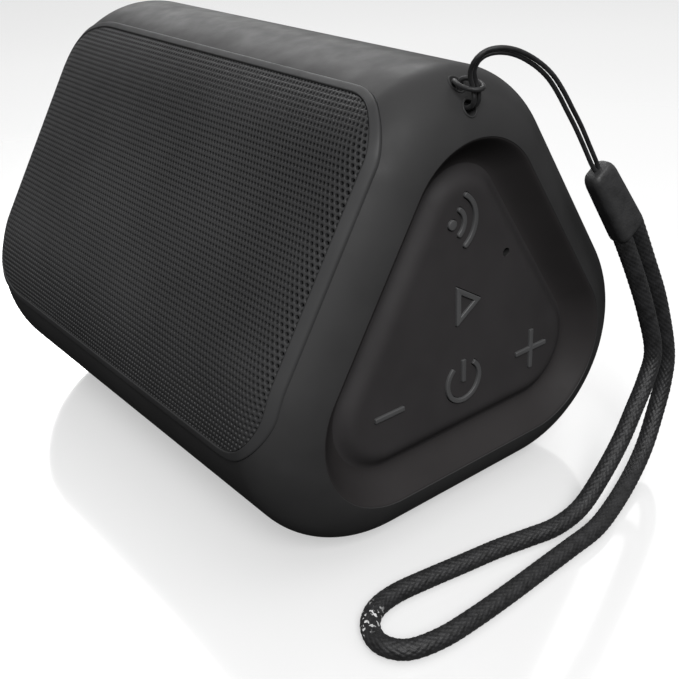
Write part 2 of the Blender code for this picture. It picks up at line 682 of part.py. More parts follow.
def make_dome_sheet(mats):
    """A film over the board with one snap dome under each key."""
    film = [(x / MM, 17.2) for x in SHEET_X]
    sheet = section_loft("dome_sheet", film, mats["steel"])
    low, high = SHEET_X
    for (y, z), _, _ in KEYS.values():
        axis = along_x(y * MM, z * MM)
        dome = [(0, low), (2.7 * MM, low), (2.5 * MM, high), (1.6 * MM, DOME_TOP - 0.1 * MM),
                (0, DOME_TOP)]
        hollow = [(0, low - 1 * MM), (2.3 * MM, low - 1 * MM), (2.3 * MM, low), (1.5 * MM, high),
                  (0, DOME_TOP - 0.2 * MM)]
        boolean(sheet, [turned("dome", dome, axis, steps=12)], "UNION")
        boolean(sheet, [turned("hollow", hollow, axis, steps=12)])
    hole = cylinder("hole", 2.1 * MM, 44 * MM, 46 * MM, along_x(*MICROPHONE), steps=14)
    boolean(sheet, [hole])


def make_end_plate(name, side, mats):
    """A plate that closes the chassis, with sunk screw holes and the openings it needs."""
    ends = [(x / MM, CAVITY_INSET / MM + 0.3) for x in END_PLATE_X]
    plate = section_loft(name, ends, mats["inner_plastic"], mirror=side < 0)
    front = slope_frame(-1)
    cuts = [box("tray", (-60 * MM, TRAY_S[0] - GAP, -TRAY_DEPTH - GAP),
                (60 * MM, TRAY_S[1] + GAP, 5 * MM), front)]
    for y, z, _ in boss_places():
        low, high = sorted((side * 37 * MM, side * 43 * MM))
        cuts.append(cylinder("through", 1.5 * MM, low, high, along_x(y, z), steps=12))
        low, high = sorted((side * 40.1 * MM, side * 43 * MM))
        cuts.append(cylinder("sink", 2.9 * MM, low, high, along_x(y, z), steps=12))
    if side > 0:
        cuts.append(box("ribbon_slot", (-44 * MM, 59.5 * MM, -11.7 * MM),
                        (-37 * MM, 68.5 * MM, -9.9 * MM), slope_frame(1)))
    else:
        cuts.append(cylinder("jack_hole", 3.4 * MM, -44 * MM, -37 * MM, along_x(*JACK), steps=16))
    return boolean(plate, cuts)


def make_end_screws(mats):
    """Six screws holding the two end plates to the chassis bosses."""
    profile = screw_profile(2.5 * MM, 1.1 * MM, 1.1 * MM, 5.6 * MM)
    for side in (-1, 1):
        end = "control" if side > 0 else "port"
        for number, (y, z, _) in enumerate(boss_places(), 1):
            screw = turned(f"{end}_screw_{number}", profile, Matrix.Identity(4), mats["steel"], 10)
            screw.location = (side * 40.4 * MM, y, z)
            screw.rotation_euler = (0, side * math.pi / 2, 0)


# ---------------------------------------------------------------- port end

JACK = (7.5 * MM, 27.5 * MM)
USB = (-6.5 * MM, 27.5 * MM)
CHARGE_LIGHT = (0, 41 * MM)
PORT_PANEL = [(46.2, 17), (45, 17), (45, 11.2), (46.1, 11.2), (46.1, 13.6), (47.9, 13.6),
              (49.3, 15.2), (49.7, 16.1)]


def usb_box(name, grow, x_low, x_high, **place):
    """A flat socket-shaped box at the port, grown by grow all round."""
    y, z = USB
    low = (x_low, y - 4.4 * MM - grow, z - 1.6 * MM - grow)
    high = (x_high, y + 4.4 * MM + grow, z + 1.6 * MM + grow)
    return box(name, low, high, **place)


def make_port_end(mats):
    """Recess wall, port panel, rubber door, sockets, charge light and their board."""
    section_loft("port_bezel", BEZEL, mats["soft_touch"], closed=True, mirror=True)
    panel = section_loft("port_panel", PORT_PANEL, mats["soft_touch"], mirror=True)
    well_low = (-52 * MM, -DOOR_HALF_Y - GAP, DOOR_Z[0] - GAP)
    well_high = (-47.7 * MM, DOOR_HALF_Y + GAP, DOOR_Z[1] + GAP)
    boolean(panel, [
        box("well", well_low, well_high),
        usb_box("usb_hole", 0.35 * MM, -50 * MM, -44 * MM),
        cylinder("jack_hole", 3.4 * MM, -50 * MM, -44 * MM, along_x(*JACK), steps=16),
        cylinder("light_hole", 1.2 * MM, -52 * MM, -44 * MM, along_x(*CHARGE_LIGHT), steps=10),
    ])
    hinge = (-PAD_X, 0, DOOR_Z[0])
    door = box("port_door", (-PAD_X, -DOOR_HALF_Y, DOOR_Z[0]),
               (-PAD_X + DOOR_THICK, DOOR_HALF_Y, DOOR_Z[1]), None, mats["rubber"], origin=hinge)
    door.data.update()
    socket = usb_box("usb_socket", 0, -47.4 * MM, -41.8 * MM, material=mats["steel"])
    boolean(socket, [usb_box("usb_bore", -0.4 * MM, -48 * MM, -42.6 * MM)])
    tongue = usb_box("tongue", -1.2 * MM, -46.6 * MM, -42.2 * MM)
    boolean(socket, [tongue], "UNION")
    bore = [(1.78, -47.4), (3, -47.4), (3, -35.5), (1.78, -35.5)]
    turned("aux_jack", [(r * MM, h * MM) for r, h in bore], along_x(*JACK), mats["chip_black"], 16)
    cylinder("charge_light", 0.9 * MM, -49.6 * MM, -44.5 * MM, along_x(*CHARGE_LIGHT),
             mats["light_pipe"], 12)
    board = [(x / MM, 16.2) for x in PORT_BOARD_X]
    board = section_loft("port_board", board, mats["board_green"], mirror=True)
    boolean(board, [
        usb_box("usb_hole", 0.35 * MM, -44 * MM, -41 * MM),
        cylinder("jack_hole", 3.4 * MM, -44 * MM, -41 * MM, along_x(*JACK), steps=16),
    ])


# ---------------------------------------------------------------- underside

def make_underside(mats):
    """Slotted guard, passive radiator and rubber feet."""
    half_x, half_y = RADIATOR_WINDOW[0] - GAP, RADIATOR_WINDOW[1] - GAP
    guard = plan_stack("bottom_grille", [(half_x, half_y, 3.7 * MM, 1.5 * MM),
                                         (half_x, half_y, 3.7 * MM, 3.1 * MM)],
                       mats["frame_plastic"])
    slots = []
    for i in range(9):
        x = (i - 4) * 6.2 * MM
        slots.append(box("slot", (x - 1.6 * MM, -7.6 * MM, 0), (x + 1.6 * MM, 7.6 * MM, 5 * MM)))
    boolean(guard, slots)
    plan_stack("radiator_frame", [
        (29 * MM, 12.6 * MM, 6 * MM, 6.9 * MM), (29 * MM, 12.6 * MM, 6 * MM, 8.2 * MM),
        (26 * MM, 9 * MM, 4 * MM, 8.2 * MM), (26 * MM, 9 * MM, 4 * MM, 6.9 * MM),
    ], mats["inner_plastic"], closed=True)
    plan_stack("radiator_surround", [
        (25.7 * MM, 8.7 * MM, 3.7 * MM, 7.2 * MM), (25.7 * MM, 8.7 * MM, 3.7 * MM, 8 * MM),
        (24.6 * MM, 7.6 * MM, 3 * MM, 8.9 * MM), (23.2 * MM, 6.6 * MM, 2.6 * MM, 8 * MM),
        (23.2 * MM, 6.6 * MM, 2.6 * MM, 7.2 * MM), (24.6 * MM, 7.6 * MM, 3 * MM, 8.1 * MM),
    ], mats["rubber"], closed=True)
    plan_stack("radiator_plate", [(22.9 * MM, 6.3 * MM, 2.3 * MM, 7.1 * MM),
                                  (22.9 * MM, 6.3 * MM, 2.3 * MM, 8 * MM)],
               mats["inner_plastic"], origin=(0, 0, 8 * MM))
    plan_stack("radiator_weight", [(14 * MM, 3.6 * MM, 1 * MM, 8.3 * MM),
                                   (14 * MM, 3.6 * MM, 1 * MM, 10.8 * MM)],
               mats["steel"], origin=(0, 0, 8.3 * MM))
    for name, side in (("foot_front", -1), ("foot_rear", 1)):
        low = (-FOOT_HALF[0], side * FOOT_Y - FOOT_HALF[1], 0)
        high = (FOOT_HALF[0], side * FOOT_Y + FOOT_HALF[1], GROUND_FLAT + 0.7 * MM)
        box(name, low, high, None, mats["rubber"], bevel=0.4 * MM)


# ---------------------------------------------------------------- battery and main board

def make_electronics(mats):
    """Battery cell in its cradle, and the main board on the rear wall."""
    cell = [(0, -32), (2.4, -32), (2.4, -31.3), (8.4, -31.3), (9.1, -30.4), (9.1, 30.6), (8.4, 31.4),
            (3, 31.4), (3, 32.4), (0, 32.4)]
    axis = along_x(BATTERY.y, BATTERY.z)
    turned("battery_cell", [(r * MM, h * MM) for r, h in cell], axis, mats["battery_wrap"], 24)
    inner = BATTERY_RADIUS + GAP
    outer = inner + 1.4 * MM
    lower = arc((0, 0), outer, 180, 360, 12) + arc((0, 0), inner, 360, 180, 12)
    tray = prism("battery_tray", lower, (BATTERY.y, BATTERY.z), -29 * MM, 29 * MM,
                 mats["inner_plastic"])
    foot_top = BATTERY.z - outer + 0.5 * MM
    for x in (-22 * MM, 22 * MM):
        leg = box("leg", (x - 2 * MM, BATTERY.y - 1.2 * MM, 7.2 * MM),
                  (x + 2 * MM, BATTERY.y + 1.2 * MM, foot_top))
        boolean(tray, [leg], "UNION")
    rear = slope_frame(1)
    board = box("main_board", (-38 * MM, 51 * MM, -11.6 * MM), (38 * MM, 79 * MM, -10 * MM), rear,
                mats["board_green"])
    chips = [(-24, 60, 9, 9), (-8, 58, 7, 7), (6, 62, 12, 8), (24, 58, 6, 10), (24, 71, 9, 5),
             (-6, 71, 10, 5), (-24, 72, 8, 6)]
    for x, s, width, height in chips:
        low = ((x - width / 2) * MM, (s - height / 2) * MM, -13.4 * MM)
        high = ((x + width / 2) * MM, (s + height / 2) * MM, -11 * MM)
        boolean(board, [box("chip", low, high, rear)], "UNION")


# ---------------------------------------------------------------- wrist strap

def smooth(points, spacing):
    """Points spacing apart on a smooth curve through points."""
    route = [Vector(p) * MM for p in points]
    padded = [2 * route[0] - route[1]] + route + [2 * route[-1] - route[-2]]
    fine = []
    for i in range(1, len(padded) - 2):
        a, b, c, d = padded[i - 1:i + 3]
        for k in range(24):
            t = k / 24
            fine.append(0.5 * (2 * b + (c - a) * t + (2 * a - 5 * b + 4 * c - d) * t ** 2
                               + (3 * b - a - 3 * c + d) * t ** 3))
    fine.append(route[-1])
    lengths = [0.0]
    for a, b in zip(fine, fine[1:]):
        lengths.append(lengths[-1] + (b - a).length)
    count = max(2, round(lengths[-1] / spacing))
    result, k = [], 0
    for i in range(count + 1):
        target = lengths[-1] * i / count
        while k < len(lengths) - 2 and lengths[k + 1] < target:
            k += 1
        share = (target - lengths[k]) / (lengths[k + 1] - lengths[k])
        result.append(fine[k].lerp(fine[k + 1], min(1.0, share)))
    return result


def tube(name, points, diameter, material):
    """A cord along points."""
    curve = bpy.data.curves.new(name, "CURVE")
    curve.dimensions = "3D"
    curve.bevel_depth = diameter / 2
    curve.bevel_resolution = 2
    curve.use_fill_caps = True
    spline = curve.splines.new("POLY")
    spline.points.add(len(points) - 1)
    for target, point in zip(spline.points, points):
        target.co = (*point, 1)
    curve.materials.append(material)
    ob = bpy.data.objects.new(name, curve)
    bpy.context.scene.collection.objects.link(ob)
    return ob


def cord_route():
    """The thin cord, in millimetres: up one strand, through the eyelet's hitch, and back."""
    middle = [Vector(p) for p in CORD_MIDDLE]
    strands = {1: [], -1: []}
    for i, point in enumerate(middle):
        run = middle[min(i + 1, len(middle) - 1)] - middle[max(i - 1, 0)]
        across = Vector((0, run.z, -run.y)).normalized() * (STRAND_HALF_GAP / MM)
        for side in strands:
            strands[side].append(point + across * side)
    hitch = {side: [Vector((x, y * side, z)) for x, y, z in CORD_HITCH] for side in (1, -1)}
    there = strands[1][::-1] + hitch[1]
    back = hitch[-1][::-1] + strands[-1]
    return there + [Vector(CORD_CROWN)] + back


def make_strap(mats):
    """Thin cord hitched through the eyelet, moulded ferrule and braided hand loop."""
    tube("strap_cord", smooth(cord_route(), 1.25 * MM), CORD_DIAMETER, mats["strap_braid"])
    tube("strap_loop", smooth(LOOP_ROUTE, 6.4 * MM), STRAP_DIAMETER, mats["strap_braid"])
    down = (FERRULE_BOTTOM - FERRULE_TOP).normalized()
    wide = Vector((0, -down.z, down.y)).normalized()
    thick = down.cross(wide).normalized()
    length = (FERRULE_BOTTOM - FERRULE_TOP).length
    rings = []
    for share, half_wide, half_thick in ((0, 1.7, 1.15), (0.04, 2.25, 1.55), (0.14, 2.5, 1.75),
                                         (0.94, 2.9, 1.88), (1, 2.7, 1.65)):
        loop = rounded_loop(half_wide * MM, -half_thick * MM, half_thick * MM, 1.0 * MM, 1, 1, 3)
        centre = FERRULE_TOP + down * length * share
        rings.append([centre + wide * a + thick * b for a, b in loop])
    loft("strap_ferrule", rings, mats["ferrule_plastic"])


def main():
    """Model the whole speaker."""
    clear_scene()
    mats = make_materials()
    make_casing(mats)
    make_chassis(mats)
    make_front(mats)
    for side in (-1, 1):
        make_driver(side, mats)
    make_control_end(mats)
    make_end_plate("control_end_plate", 1, mats)
    make_end_plate("port_end_plate", -1, mats)
    make_end_screws(mats)
    make_port_end(mats)
    make_underside(mats)
    make_electronics(mats)
    make_strap(mats)


main()
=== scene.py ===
import math

import bmesh
import bpy
import numpy as np
from mathutils import Matrix, Vector


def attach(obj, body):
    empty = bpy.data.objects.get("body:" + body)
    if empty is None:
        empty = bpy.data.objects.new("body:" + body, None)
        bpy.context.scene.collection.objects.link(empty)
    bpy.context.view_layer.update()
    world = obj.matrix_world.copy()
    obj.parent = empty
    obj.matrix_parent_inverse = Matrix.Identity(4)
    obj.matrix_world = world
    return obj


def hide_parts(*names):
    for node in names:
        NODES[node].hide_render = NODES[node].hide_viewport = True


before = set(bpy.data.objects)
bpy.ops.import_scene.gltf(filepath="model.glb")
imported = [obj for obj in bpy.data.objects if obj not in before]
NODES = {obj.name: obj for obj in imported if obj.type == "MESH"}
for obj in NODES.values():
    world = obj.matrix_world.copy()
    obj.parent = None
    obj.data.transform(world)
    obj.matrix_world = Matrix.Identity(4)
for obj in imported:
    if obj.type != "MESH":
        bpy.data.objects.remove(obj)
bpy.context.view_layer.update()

MM = 0.001

# ---------------------------------------------------------------- the casing's geometry
# The section is a triangle with rounded corners, lofted along X and domed at both ends.
LENGTH = 106 * MM
HALF_BASE = 59.1 * MM  # of the triangle before its corners are rounded
APEX = 93 * MM
BOTTOM_RADIUS = 24 * MM
TOP_RADIUS = 22.4 * MM
FOOT_HEIGHT = 1 * MM
SLOPE = math.atan2(APEX, HALF_BASE)
DOME_LENGTH = 10.4 * MM
DOME_INSET = 14 * MM
MOUTH_INSET = 9.1 * MM
BOTTOM_Y = HALF_BASE - BOTTOM_RADIUS / math.tan(SLOPE / 2)
TOP_Z = APEX - TOP_RADIUS / math.cos(SLOPE)
FRONT_ANGLE = math.pi / 2 + SLOPE  # of the grille side's outward normal
FLAT = math.hypot(HALF_BASE, APEX) - BOTTOM_RADIUS / math.tan(SLOPE / 2) \
    - TOP_RADIUS / math.tan(math.pi / 2 - SLOPE)
GRILLE_HALF_X = 48.7 * MM
GRILLE_W = (-16.4 * MM, FLAT + 12.6 * MM)
GRILLE_RADIUS = 11.6 * MM
FRAME_WIDTH = 1.5 * MM
KEY_TOP_X = 50.05 * MM
STROKE = 0.42 * MM  # half the width of a sign's line
KEY_CLEARANCE = 0.13 * MM
EYELET_X = 47.9 * MM
EYELET_Z = 69.6 * MM
MICROPHONE = (9.3 * MM, 44.5 * MM)
SMOOTH_ANGLE = 32  # degrees, the sharpest edge that is shaded smooth


def section_samples(steps):
    """(point, outward normal) pairs round the section, starting at the flat's front end."""
    rear = math.pi / 2 - SLOPE
    arcs = [
        (-BOTTOM_Y, BOTTOM_RADIUS, BOTTOM_RADIUS, 1.5 * math.pi, FRONT_ANGLE),
        (0, TOP_Z, TOP_RADIUS, FRONT_ANGLE, rear),
        (BOTTOM_Y, BOTTOM_RADIUS, BOTTOM_RADIUS, rear, -math.pi / 2),
    ]
    samples = []
    for cy, cz, radius, start, end in arcs:
        for i in range(steps + 1):
            a = start + (end - start) * i / steps
            normal = Vector((0, math.cos(a), math.sin(a)))
            samples.append((Vector((0, cy, cz + FOOT_HEIGHT)) + normal * radius, normal))
    return samples


SECTION = section_samples(44)


def dome_inset(x):
    """How far the skin lies inside the section at x."""
    q = max(0.0, (abs(x) - (LENGTH / 2 - DOME_LENGTH)) / DOME_LENGTH)
    return DOME_INSET * (1 - math.sqrt(max(0.0, 1 - q * q)))


def dome_x(inset):
    """Where along X the skin lies this far inside the section."""
    return LENGTH / 2 - DOME_LENGTH + DOME_LENGTH * math.sqrt(1 - (1 - inset / DOME_INSET) ** 2)


def front_point(x, w, out):
    """A point on the grille side: w along the section's outline, out from the skin."""
    up = Vector((0, math.cos(SLOPE), math.sin(SLOPE)))
    a, rise, radius = FRONT_ANGLE, 0.0, BOTTOM_RADIUS
    centre = Vector((0, -BOTTOM_Y, BOTTOM_RADIUS))
    if w < 0:
        a = FRONT_ANGLE - w / BOTTOM_RADIUS
    elif w > FLAT:
        a = FRONT_ANGLE - (w - FLAT) / TOP_RADIUS
        centre = Vector((0, 0, TOP_Z))
        radius = TOP_RADIUS
    else:
        rise = w
    normal = Vector((0, math.cos(a), math.sin(a)))
    point = centre + normal * (radius + out - dome_inset(x)) + up * rise
    return Vector((x, point.y, point.z + FOOT_HEIGHT))


def rounded_loop(half_x, low, high, radius, x_steps, w_steps, corner_steps):
    """A rounded rectangle as (x, w) pairs, anticlockwise."""
    corners = [
        (half_x - radius, low + radius, -90), (half_x - radius, high - radius, 0),
        (-half_x + radius, high - radius, 90), (-half_x + radius, low + radius, 180),
    ]
    points = []
    for i, (cx, cw, start) in enumerate(corners):
        for k in range(corner_steps + 1):
            a = math.radians(start + 90 * k / corner_steps)
            points.append((cx + radius * math.cos(a), cw + radius * math.sin(a)))
        after = corners[(i + 1) % 4]
        turn = math.radians(after[2])
        end = (after[0] + radius * math.cos(turn), after[1] + radius * math.sin(turn))
        begin = points[-1]
        steps = w_steps if i % 2 == 0 else x_steps
        for k in range(1, steps):
            points.append((begin[0] + (end[0] - begin[0]) * k / steps,
                           begin[1] + (end[1] - begin[1]) * k / steps))
    return points


def front_loop(shrink):
    """The grille opening's outline, made smaller all round by shrink."""
    low, high = GRILLE_W
    return rounded_loop(GRILLE_HALF_X - shrink, low + shrink, high - shrink,
                        GRILLE_RADIUS - shrink, 70, 50, 22)


# ---------------------------------------------------------------- mesh helpers
def add_object(name, data):
    ob = bpy.data.objects.new(name, data)
    bpy.context.scene.collection.objects.link(ob)
    return ob


def shade(ob, angle=SMOOTH_ANGLE):
    ob.data.shade_smooth()
    ob.data.set_sharp_from_angle(angle=math.radians(angle))
    return ob


def from_bmesh(name, bm, material, angle=SMOOTH_ANGLE):
    bmesh.ops.recalc_face_normals(bm, faces=bm.faces)
    if bm.calc_volume(signed=True) < 0:
        bmesh.ops.reverse_faces(bm, faces=bm.faces)
    mesh = bpy.data.meshes.new(name)
    bm.to_mesh(mesh)
    bm.free()
    if material is not None:
        mesh.materials.append(material)
    return shade(add_object(name, mesh), angle)


def loft(name, rings, material=None, closed=False, angle=SMOOTH_ANGLE):
    """Skin over rings of points, capped at both ends unless the last ring joins the first."""
    bm = bmesh.new()
    loops = [[bm.verts.new(p) for p in ring] for ring in rings]
    pairs = list(zip(loops, loops[1:]))
    if closed:
        pairs.append((loops[-1], loops[0]))
    for low, high in pairs:
        for i in range(len(low)):
            j = (i + 1) % len(low)
            bm.faces.new((low[i], low[j], high[j], high[i]))
    if not closed:
        bm.faces.new(loops[0])
        bm.faces.new(loops[-1])
    return from_bmesh(name, bm, material, angle)


def from_arrays(name, points, faces, material, angle):
    mesh = bpy.data.meshes.new(name)
    mesh.from_pydata(points, [], faces)
    mesh.update()
    mesh.materials.append(material)
    return shade(add_object(name, mesh), angle)


def section_loft(name, profile, material=None, side=1, closed=False, angle=SMOOTH_ANGLE):
    """Loft the casing's section through (x, inset) pairs in millimetres."""
    rings = [[Vector((x * MM * side, p.y - n.y * inset * MM, p.z - n.z * inset * MM))
              for p, n in SECTION] for x, inset in profile]
    return loft(name, rings, material, closed, angle=angle)


def turned(name, profile, matrix, material=None, steps=32):
    """Revolve (radius, height) points about local Z."""
    angles = [2 * math.pi * i / steps for i in range(steps)]
    rings = [[matrix @ Vector((radius * math.cos(a), radius * math.sin(a), height))
              for a in angles] for radius, height in profile]
    return loft(name, rings, material)


def cylinder(name, radius, low, high, matrix):
    return turned(name, [(radius, low), (radius, high)], matrix)


def box(name, low, high, material=None, bevel=0.0):
    """A block between two corners in millimetres, its edges rounded by bevel."""
    low, high = (Vector([v * MM for v in corner]) for corner in (low, high))
    bm = bmesh.new()
    bmesh.ops.create_cube(bm, size=1)
    bm.transform(Matrix.Translation((low + high) / 2) @ Matrix.Diagonal((*(high - low), 1)))
    if bevel:
        bmesh.ops.bevel(bm, geom=bm.edges[:], offset=bevel * MM, segments=3, profile=0.5,
                        affect="EDGES")
    return from_bmesh(name, bm, material)


def along_x(y, z):
    """Turns local Z to X and moves it to this height and depth."""
    return Matrix.Translation((0, y, z)) @ Matrix.Rotation(math.pi / 2, 4, "Y")


def triangulate(ob):
    """Cut faces of more than four corners, which the Boolean solver handles badly."""
    bm = bmesh.new()
    bm.from_mesh(ob.data)
    bmesh.ops.triangulate(bm, faces=[f for f in bm.faces if len(f.verts) > 4])
    bm.to_mesh(ob.data)
    bm.free()


def boolean(target, tools, operation="DIFFERENCE", angle=SMOOTH_ANGLE):
    """Cut each tool from the target, or join it on, and remove the tool."""
    for tool in tools:
        triangulate(target)
        triangulate(tool)
        change = target.modifiers.new("boolean", "BOOLEAN")
        change.operation = operation
        change.solver = "EXACT"
        change.object = tool
        bpy.context.view_layer.update()
        graph = bpy.context.evaluated_depsgraph_get()
        mesh = bpy.data.meshes.new_from_object(target.evaluated_get(graph))
        target.modifiers.clear()
        target.data = mesh
        bpy.data.objects.remove(tool, do_unlink=True)
    return shade(target, angle)


def stands_for(ob, body, slot, *nodes):
    """Ride on a body, in the place of these CAD nodes. The slot argument is not used."""
    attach(ob, body)
    if nodes:
        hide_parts(*nodes)
    return ob


# ---------------------------------------------------------------- materials
# Painted highlights: pale flecks on the braid near the loop's fold stand in for glints off its
# fibres.
LOOP_FOLD = Vector((61.8, -32.8, 2.0)) * MM
GLINT_REACH = 5 * MM
GLINT_COLOUR = (0.5, 0.5, 0.5, 1)


class Maker:
    """One procedural material: a Principled shader and the textures that feed it.

    Scales are per metre, and bump distances are in metres.
    """

    def __init__(self, name, colour, rough, metallic=0.0, specular=0.3, coat=0.0, sheen=0.0):
        self.material = bpy.data.materials.new(name)
        self.material.use_nodes = True
        self.nodes = self.material.node_tree.nodes
        self.links = self.material.node_tree.links
        self.shader = self.nodes["Principled BSDF"]
        self.settle(self.shader, {
            "Base Color": (*colour, 1), "Roughness": rough, "Metallic": metallic,
            "Specular IOR Level": specular, "Coat Weight": coat, "Sheen Weight": sheen})
        self.place = self.nodes.new("ShaderNodeTexCoord").outputs["Object"]
        self.colour = colour
        self.height = None

    @staticmethod
    def settle(node, values):
        for socket, value in values.items():
            node.inputs[socket].default_value = value

    def add(self, kind, values):
        node = self.nodes.new(kind)
        self.settle(node, values)
        return node

    def noise(self, scale, detail=2.0, rough=0.5, stretch=None):
        node = self.add("ShaderNodeTexNoise",
                        {"Scale": scale, "Detail": detail, "Roughness": rough})
        source = self.place
        if stretch:
            mapping = self.add("ShaderNodeMapping", {"Scale": stretch})
            self.links.new(source, mapping.inputs["Vector"])
            source = mapping.outputs["Vector"]
        self.links.new(source, node.inputs["Vector"])
        return node.outputs["Fac"]

    def ramp(self, value, stops):
        node = self.nodes.new("ShaderNodeValToRGB")
        elements = node.color_ramp.elements
        while len(elements) < len(stops):
            elements.new(0.5)
        for element, (position, colour) in zip(elements, stops):
            element.position = position
            element.color = (*colour, 1)
        self.links.new(value, node.inputs["Fac"])
        return node.outputs["Color"]

    def remap(self, value, low, high, to_low, to_high):
        node = self.add("ShaderNodeMapRange", {"From Min": low, "From Max": high,
                                               "To Min": to_low, "To Max": to_high})
        self.links.new(value, node.inputs["Value"])
        return node

    def vary(self, scale, amount):
        """Uneven colour, from darker to lighter by amount."""
        low = tuple(c * (1 - amount) for c in self.colour)
        high = tuple(c * (1 + amount) for c in self.colour)
        self.links.new(self.ramp(self.noise(scale, 3.0), [(0.35, low), (0.65, high)]),
                       self.shader.inputs["Base Color"])
        return self

    def gloss(self, scale, low, high):
        """Uneven roughness."""
        node = self.remap(self.noise(scale, 3.0), 0.3, 0.7, low, high)
        self.links.new(node.outputs["Result"], self.shader.inputs["Roughness"])
        return self

    def bump(self, value, strength, distance):
        """Relief from a texture, on top of the relief that is there."""
        node = self.add("ShaderNodeBump", {"Strength": strength, "Distance": distance})
        self.links.new(value, node.inputs["Height"])
        if self.height is not None:
            self.links.new(self.height, node.inputs["Normal"])
        self.height = node.outputs["Normal"]
        self.links.new(self.height, self.shader.inputs["Normal"])
        return self

    def grain(self, scale, strength, distance, detail=2.0):
        return self.bump(self.noise(scale, detail, 0.6), strength, distance)

    def voronoi(self, scale, strength, distance):
        node = self.add("ShaderNodeTexVoronoi", {"Scale": scale})
        self.links.new(self.place, node.inputs["Vector"])
        return self.bump(node.outputs["Distance"], strength, distance)

    def waves(self, scale, strength, distance, direction="X"):
        node = self.add("ShaderNodeTexWave", {"Scale": scale, "Distortion": 0.4})
        node.bands_direction = direction
        self.links.new(self.place, node.inputs["Vector"])
        return self.bump(node.outputs["Fac"], strength, distance)


def build_materials():
    """The finishes, by short name."""
    m = {}
    soft = Maker("soft_touch_rubber", (0.0225, 0.0223, 0.0226), 0.5, specular=0.13)
    m["soft"] = soft.vary(60, 0.10).gloss(240, 0.46, 0.58).grain(5200, 0.10, 0.00005).material
    wall = Maker("recess_rubber", (0.0200, 0.0185, 0.0187), 0.6, specular=0.08)
    m["wall"] = wall.vary(70, 0.08).gloss(260, 0.55, 0.66).grain(5200, 0.08, 0.00005).material
    pad = Maker("pad_silicone", (0.0235, 0.0220, 0.0226), 0.62, specular=0.16)
    m["pad"] = pad.vary(80, 0.08).gloss(260, 0.58, 0.70).grain(6500, 0.07, 0.00004).material
    key = Maker("key_silicone", (0.050, 0.050, 0.051), 0.5, specular=0.3)
    m["key"] = key.vary(150, 0.08).grain(6500, 0.06, 0.00004).material
    edge = Maker("frame_satin", (0.026, 0.026, 0.0265), 0.50, specular=0.12)
    m["frame"] = edge.vary(60, 0.08).gloss(300, 0.42, 0.54).grain(5000, 0.06, 0.00004).material
    sheet = Maker("grille_coated_steel", (0.020, 0.020, 0.0205), 0.46, specular=0.17)
    m["sheet"] = sheet.vary(40, 0.12).gloss(400, 0.40, 0.55).grain(7000, 0.08, 0.00003).material
    cloth = Maker("grille_cloth_weave", (0.003, 0.003, 0.003), 0.95, specular=0.05, sheen=0.1)
    m["cloth"] = cloth.vary(900, 0.3).waves(900, 0.5, 0.0001).waves(900, 0.5, 0.0001, "Z").material
    foam = Maker("cell_foam", (0.02, 0.02, 0.02), 0.95, specular=0.1)
    m["foam"] = foam.vary(400, 0.3).voronoi(1400, 0.6, 0.0002).material
    plastic = Maker("moulded_inner", (0.05, 0.05, 0.055), 0.5, specular=0.4)
    m["inner"] = plastic.vary(50, 0.1).gloss(200, 0.42, 0.6).grain(2500, 0.12, 0.00006).material
    rubber = Maker("matt_rubber", (0.014, 0.014, 0.014), 0.75, specular=0.25)
    m["rubber"] = rubber.vary(120, 0.15).gloss(300, 0.68, 0.82).grain(3500, 0.2, 0.00006).material
    steel = Maker("bare_steel", (0.55, 0.55, 0.56), 0.3, metallic=1.0)
    m["steel"] = steel.vary(200, 0.06).gloss(700, 0.22, 0.4).grain(1800, 0.05, 0.00004).material
    ferrite = Maker("ferrite", (0.07, 0.07, 0.075), 0.65, specular=0.4)
    m["magnet"] = ferrite.vary(300, 0.2).grain(1500, 0.3, 0.0001).material
    copper = Maker("enamelled_copper", (0.75, 0.33, 0.14), 0.3, metallic=1.0)
    m["copper"] = copper.vary(300, 0.15).waves(900, 0.4, 0.00008, "Z").material
    paper = Maker("pulp_cone", (0.025, 0.025, 0.026), 0.85, specular=0.15)
    m["cone"] = paper.vary(250, 0.25).grain(1200, 0.4, 0.0001, 6.0).material
    board = Maker("solder_mask", (0.012, 0.09, 0.035), 0.35, specular=0.5, coat=0.3)
    m["board"] = board.vary(250, 0.3).grain(900, 0.15, 0.00006).material
    wrap = Maker("cell_sleeve", (0.03, 0.13, 0.4), 0.32, specular=0.5, coat=0.2)
    m["wrap"] = wrap.vary(120, 0.12).grain(350, 0.12, 0.0001).material
    pipe = Maker("light_pipe_clear", (0.75, 0.76, 0.78), 0.18, specular=0.5)
    pipe.shader.inputs["Transmission Weight"].default_value = 0.35
    m["pipe"] = pipe.vary(300, 0.05).grain(1500, 0.05, 0.00003).material
    black = Maker("moulded_black", (0.012, 0.012, 0.012), 0.45, specular=0.4)
    m["black"] = black.vary(100, 0.1).gloss(300, 0.4, 0.5).grain(3000, 0.08, 0.00004).material
    ferrule = Maker("grained_ferrule", (0.022, 0.022, 0.0225), 0.48, specular=0.3)
    m["ferrule"] = ferrule.vary(300, 0.2).gloss(600, 0.44, 0.6).voronoi(2600, 0.35, 0.00008) \
        .grain(6000, 0.25, 0.00005).material
    # The braid carries pale flecks at the fold, painted highlights for the fibres' glints.
    m["braid"] = add_painted_glints(yarn_maker("braided_polyester")).material
    m["cord"] = yarn_maker("twisted_polyester").material
    return m


def yarn_maker(name):
    """Black polyester yarn: fine fibres and a dull sheen."""
    yarn = Maker(name, (0.0095, 0.0095, 0.010), 0.5, specular=0.28, sheen=0.04)
    yarn.vary(700, 0.45)
    yarn.bump(yarn.noise(9000, 3.0, 0.6, (1.0, 1.0, 0.35)), 0.5, 0.00008)
    return yarn


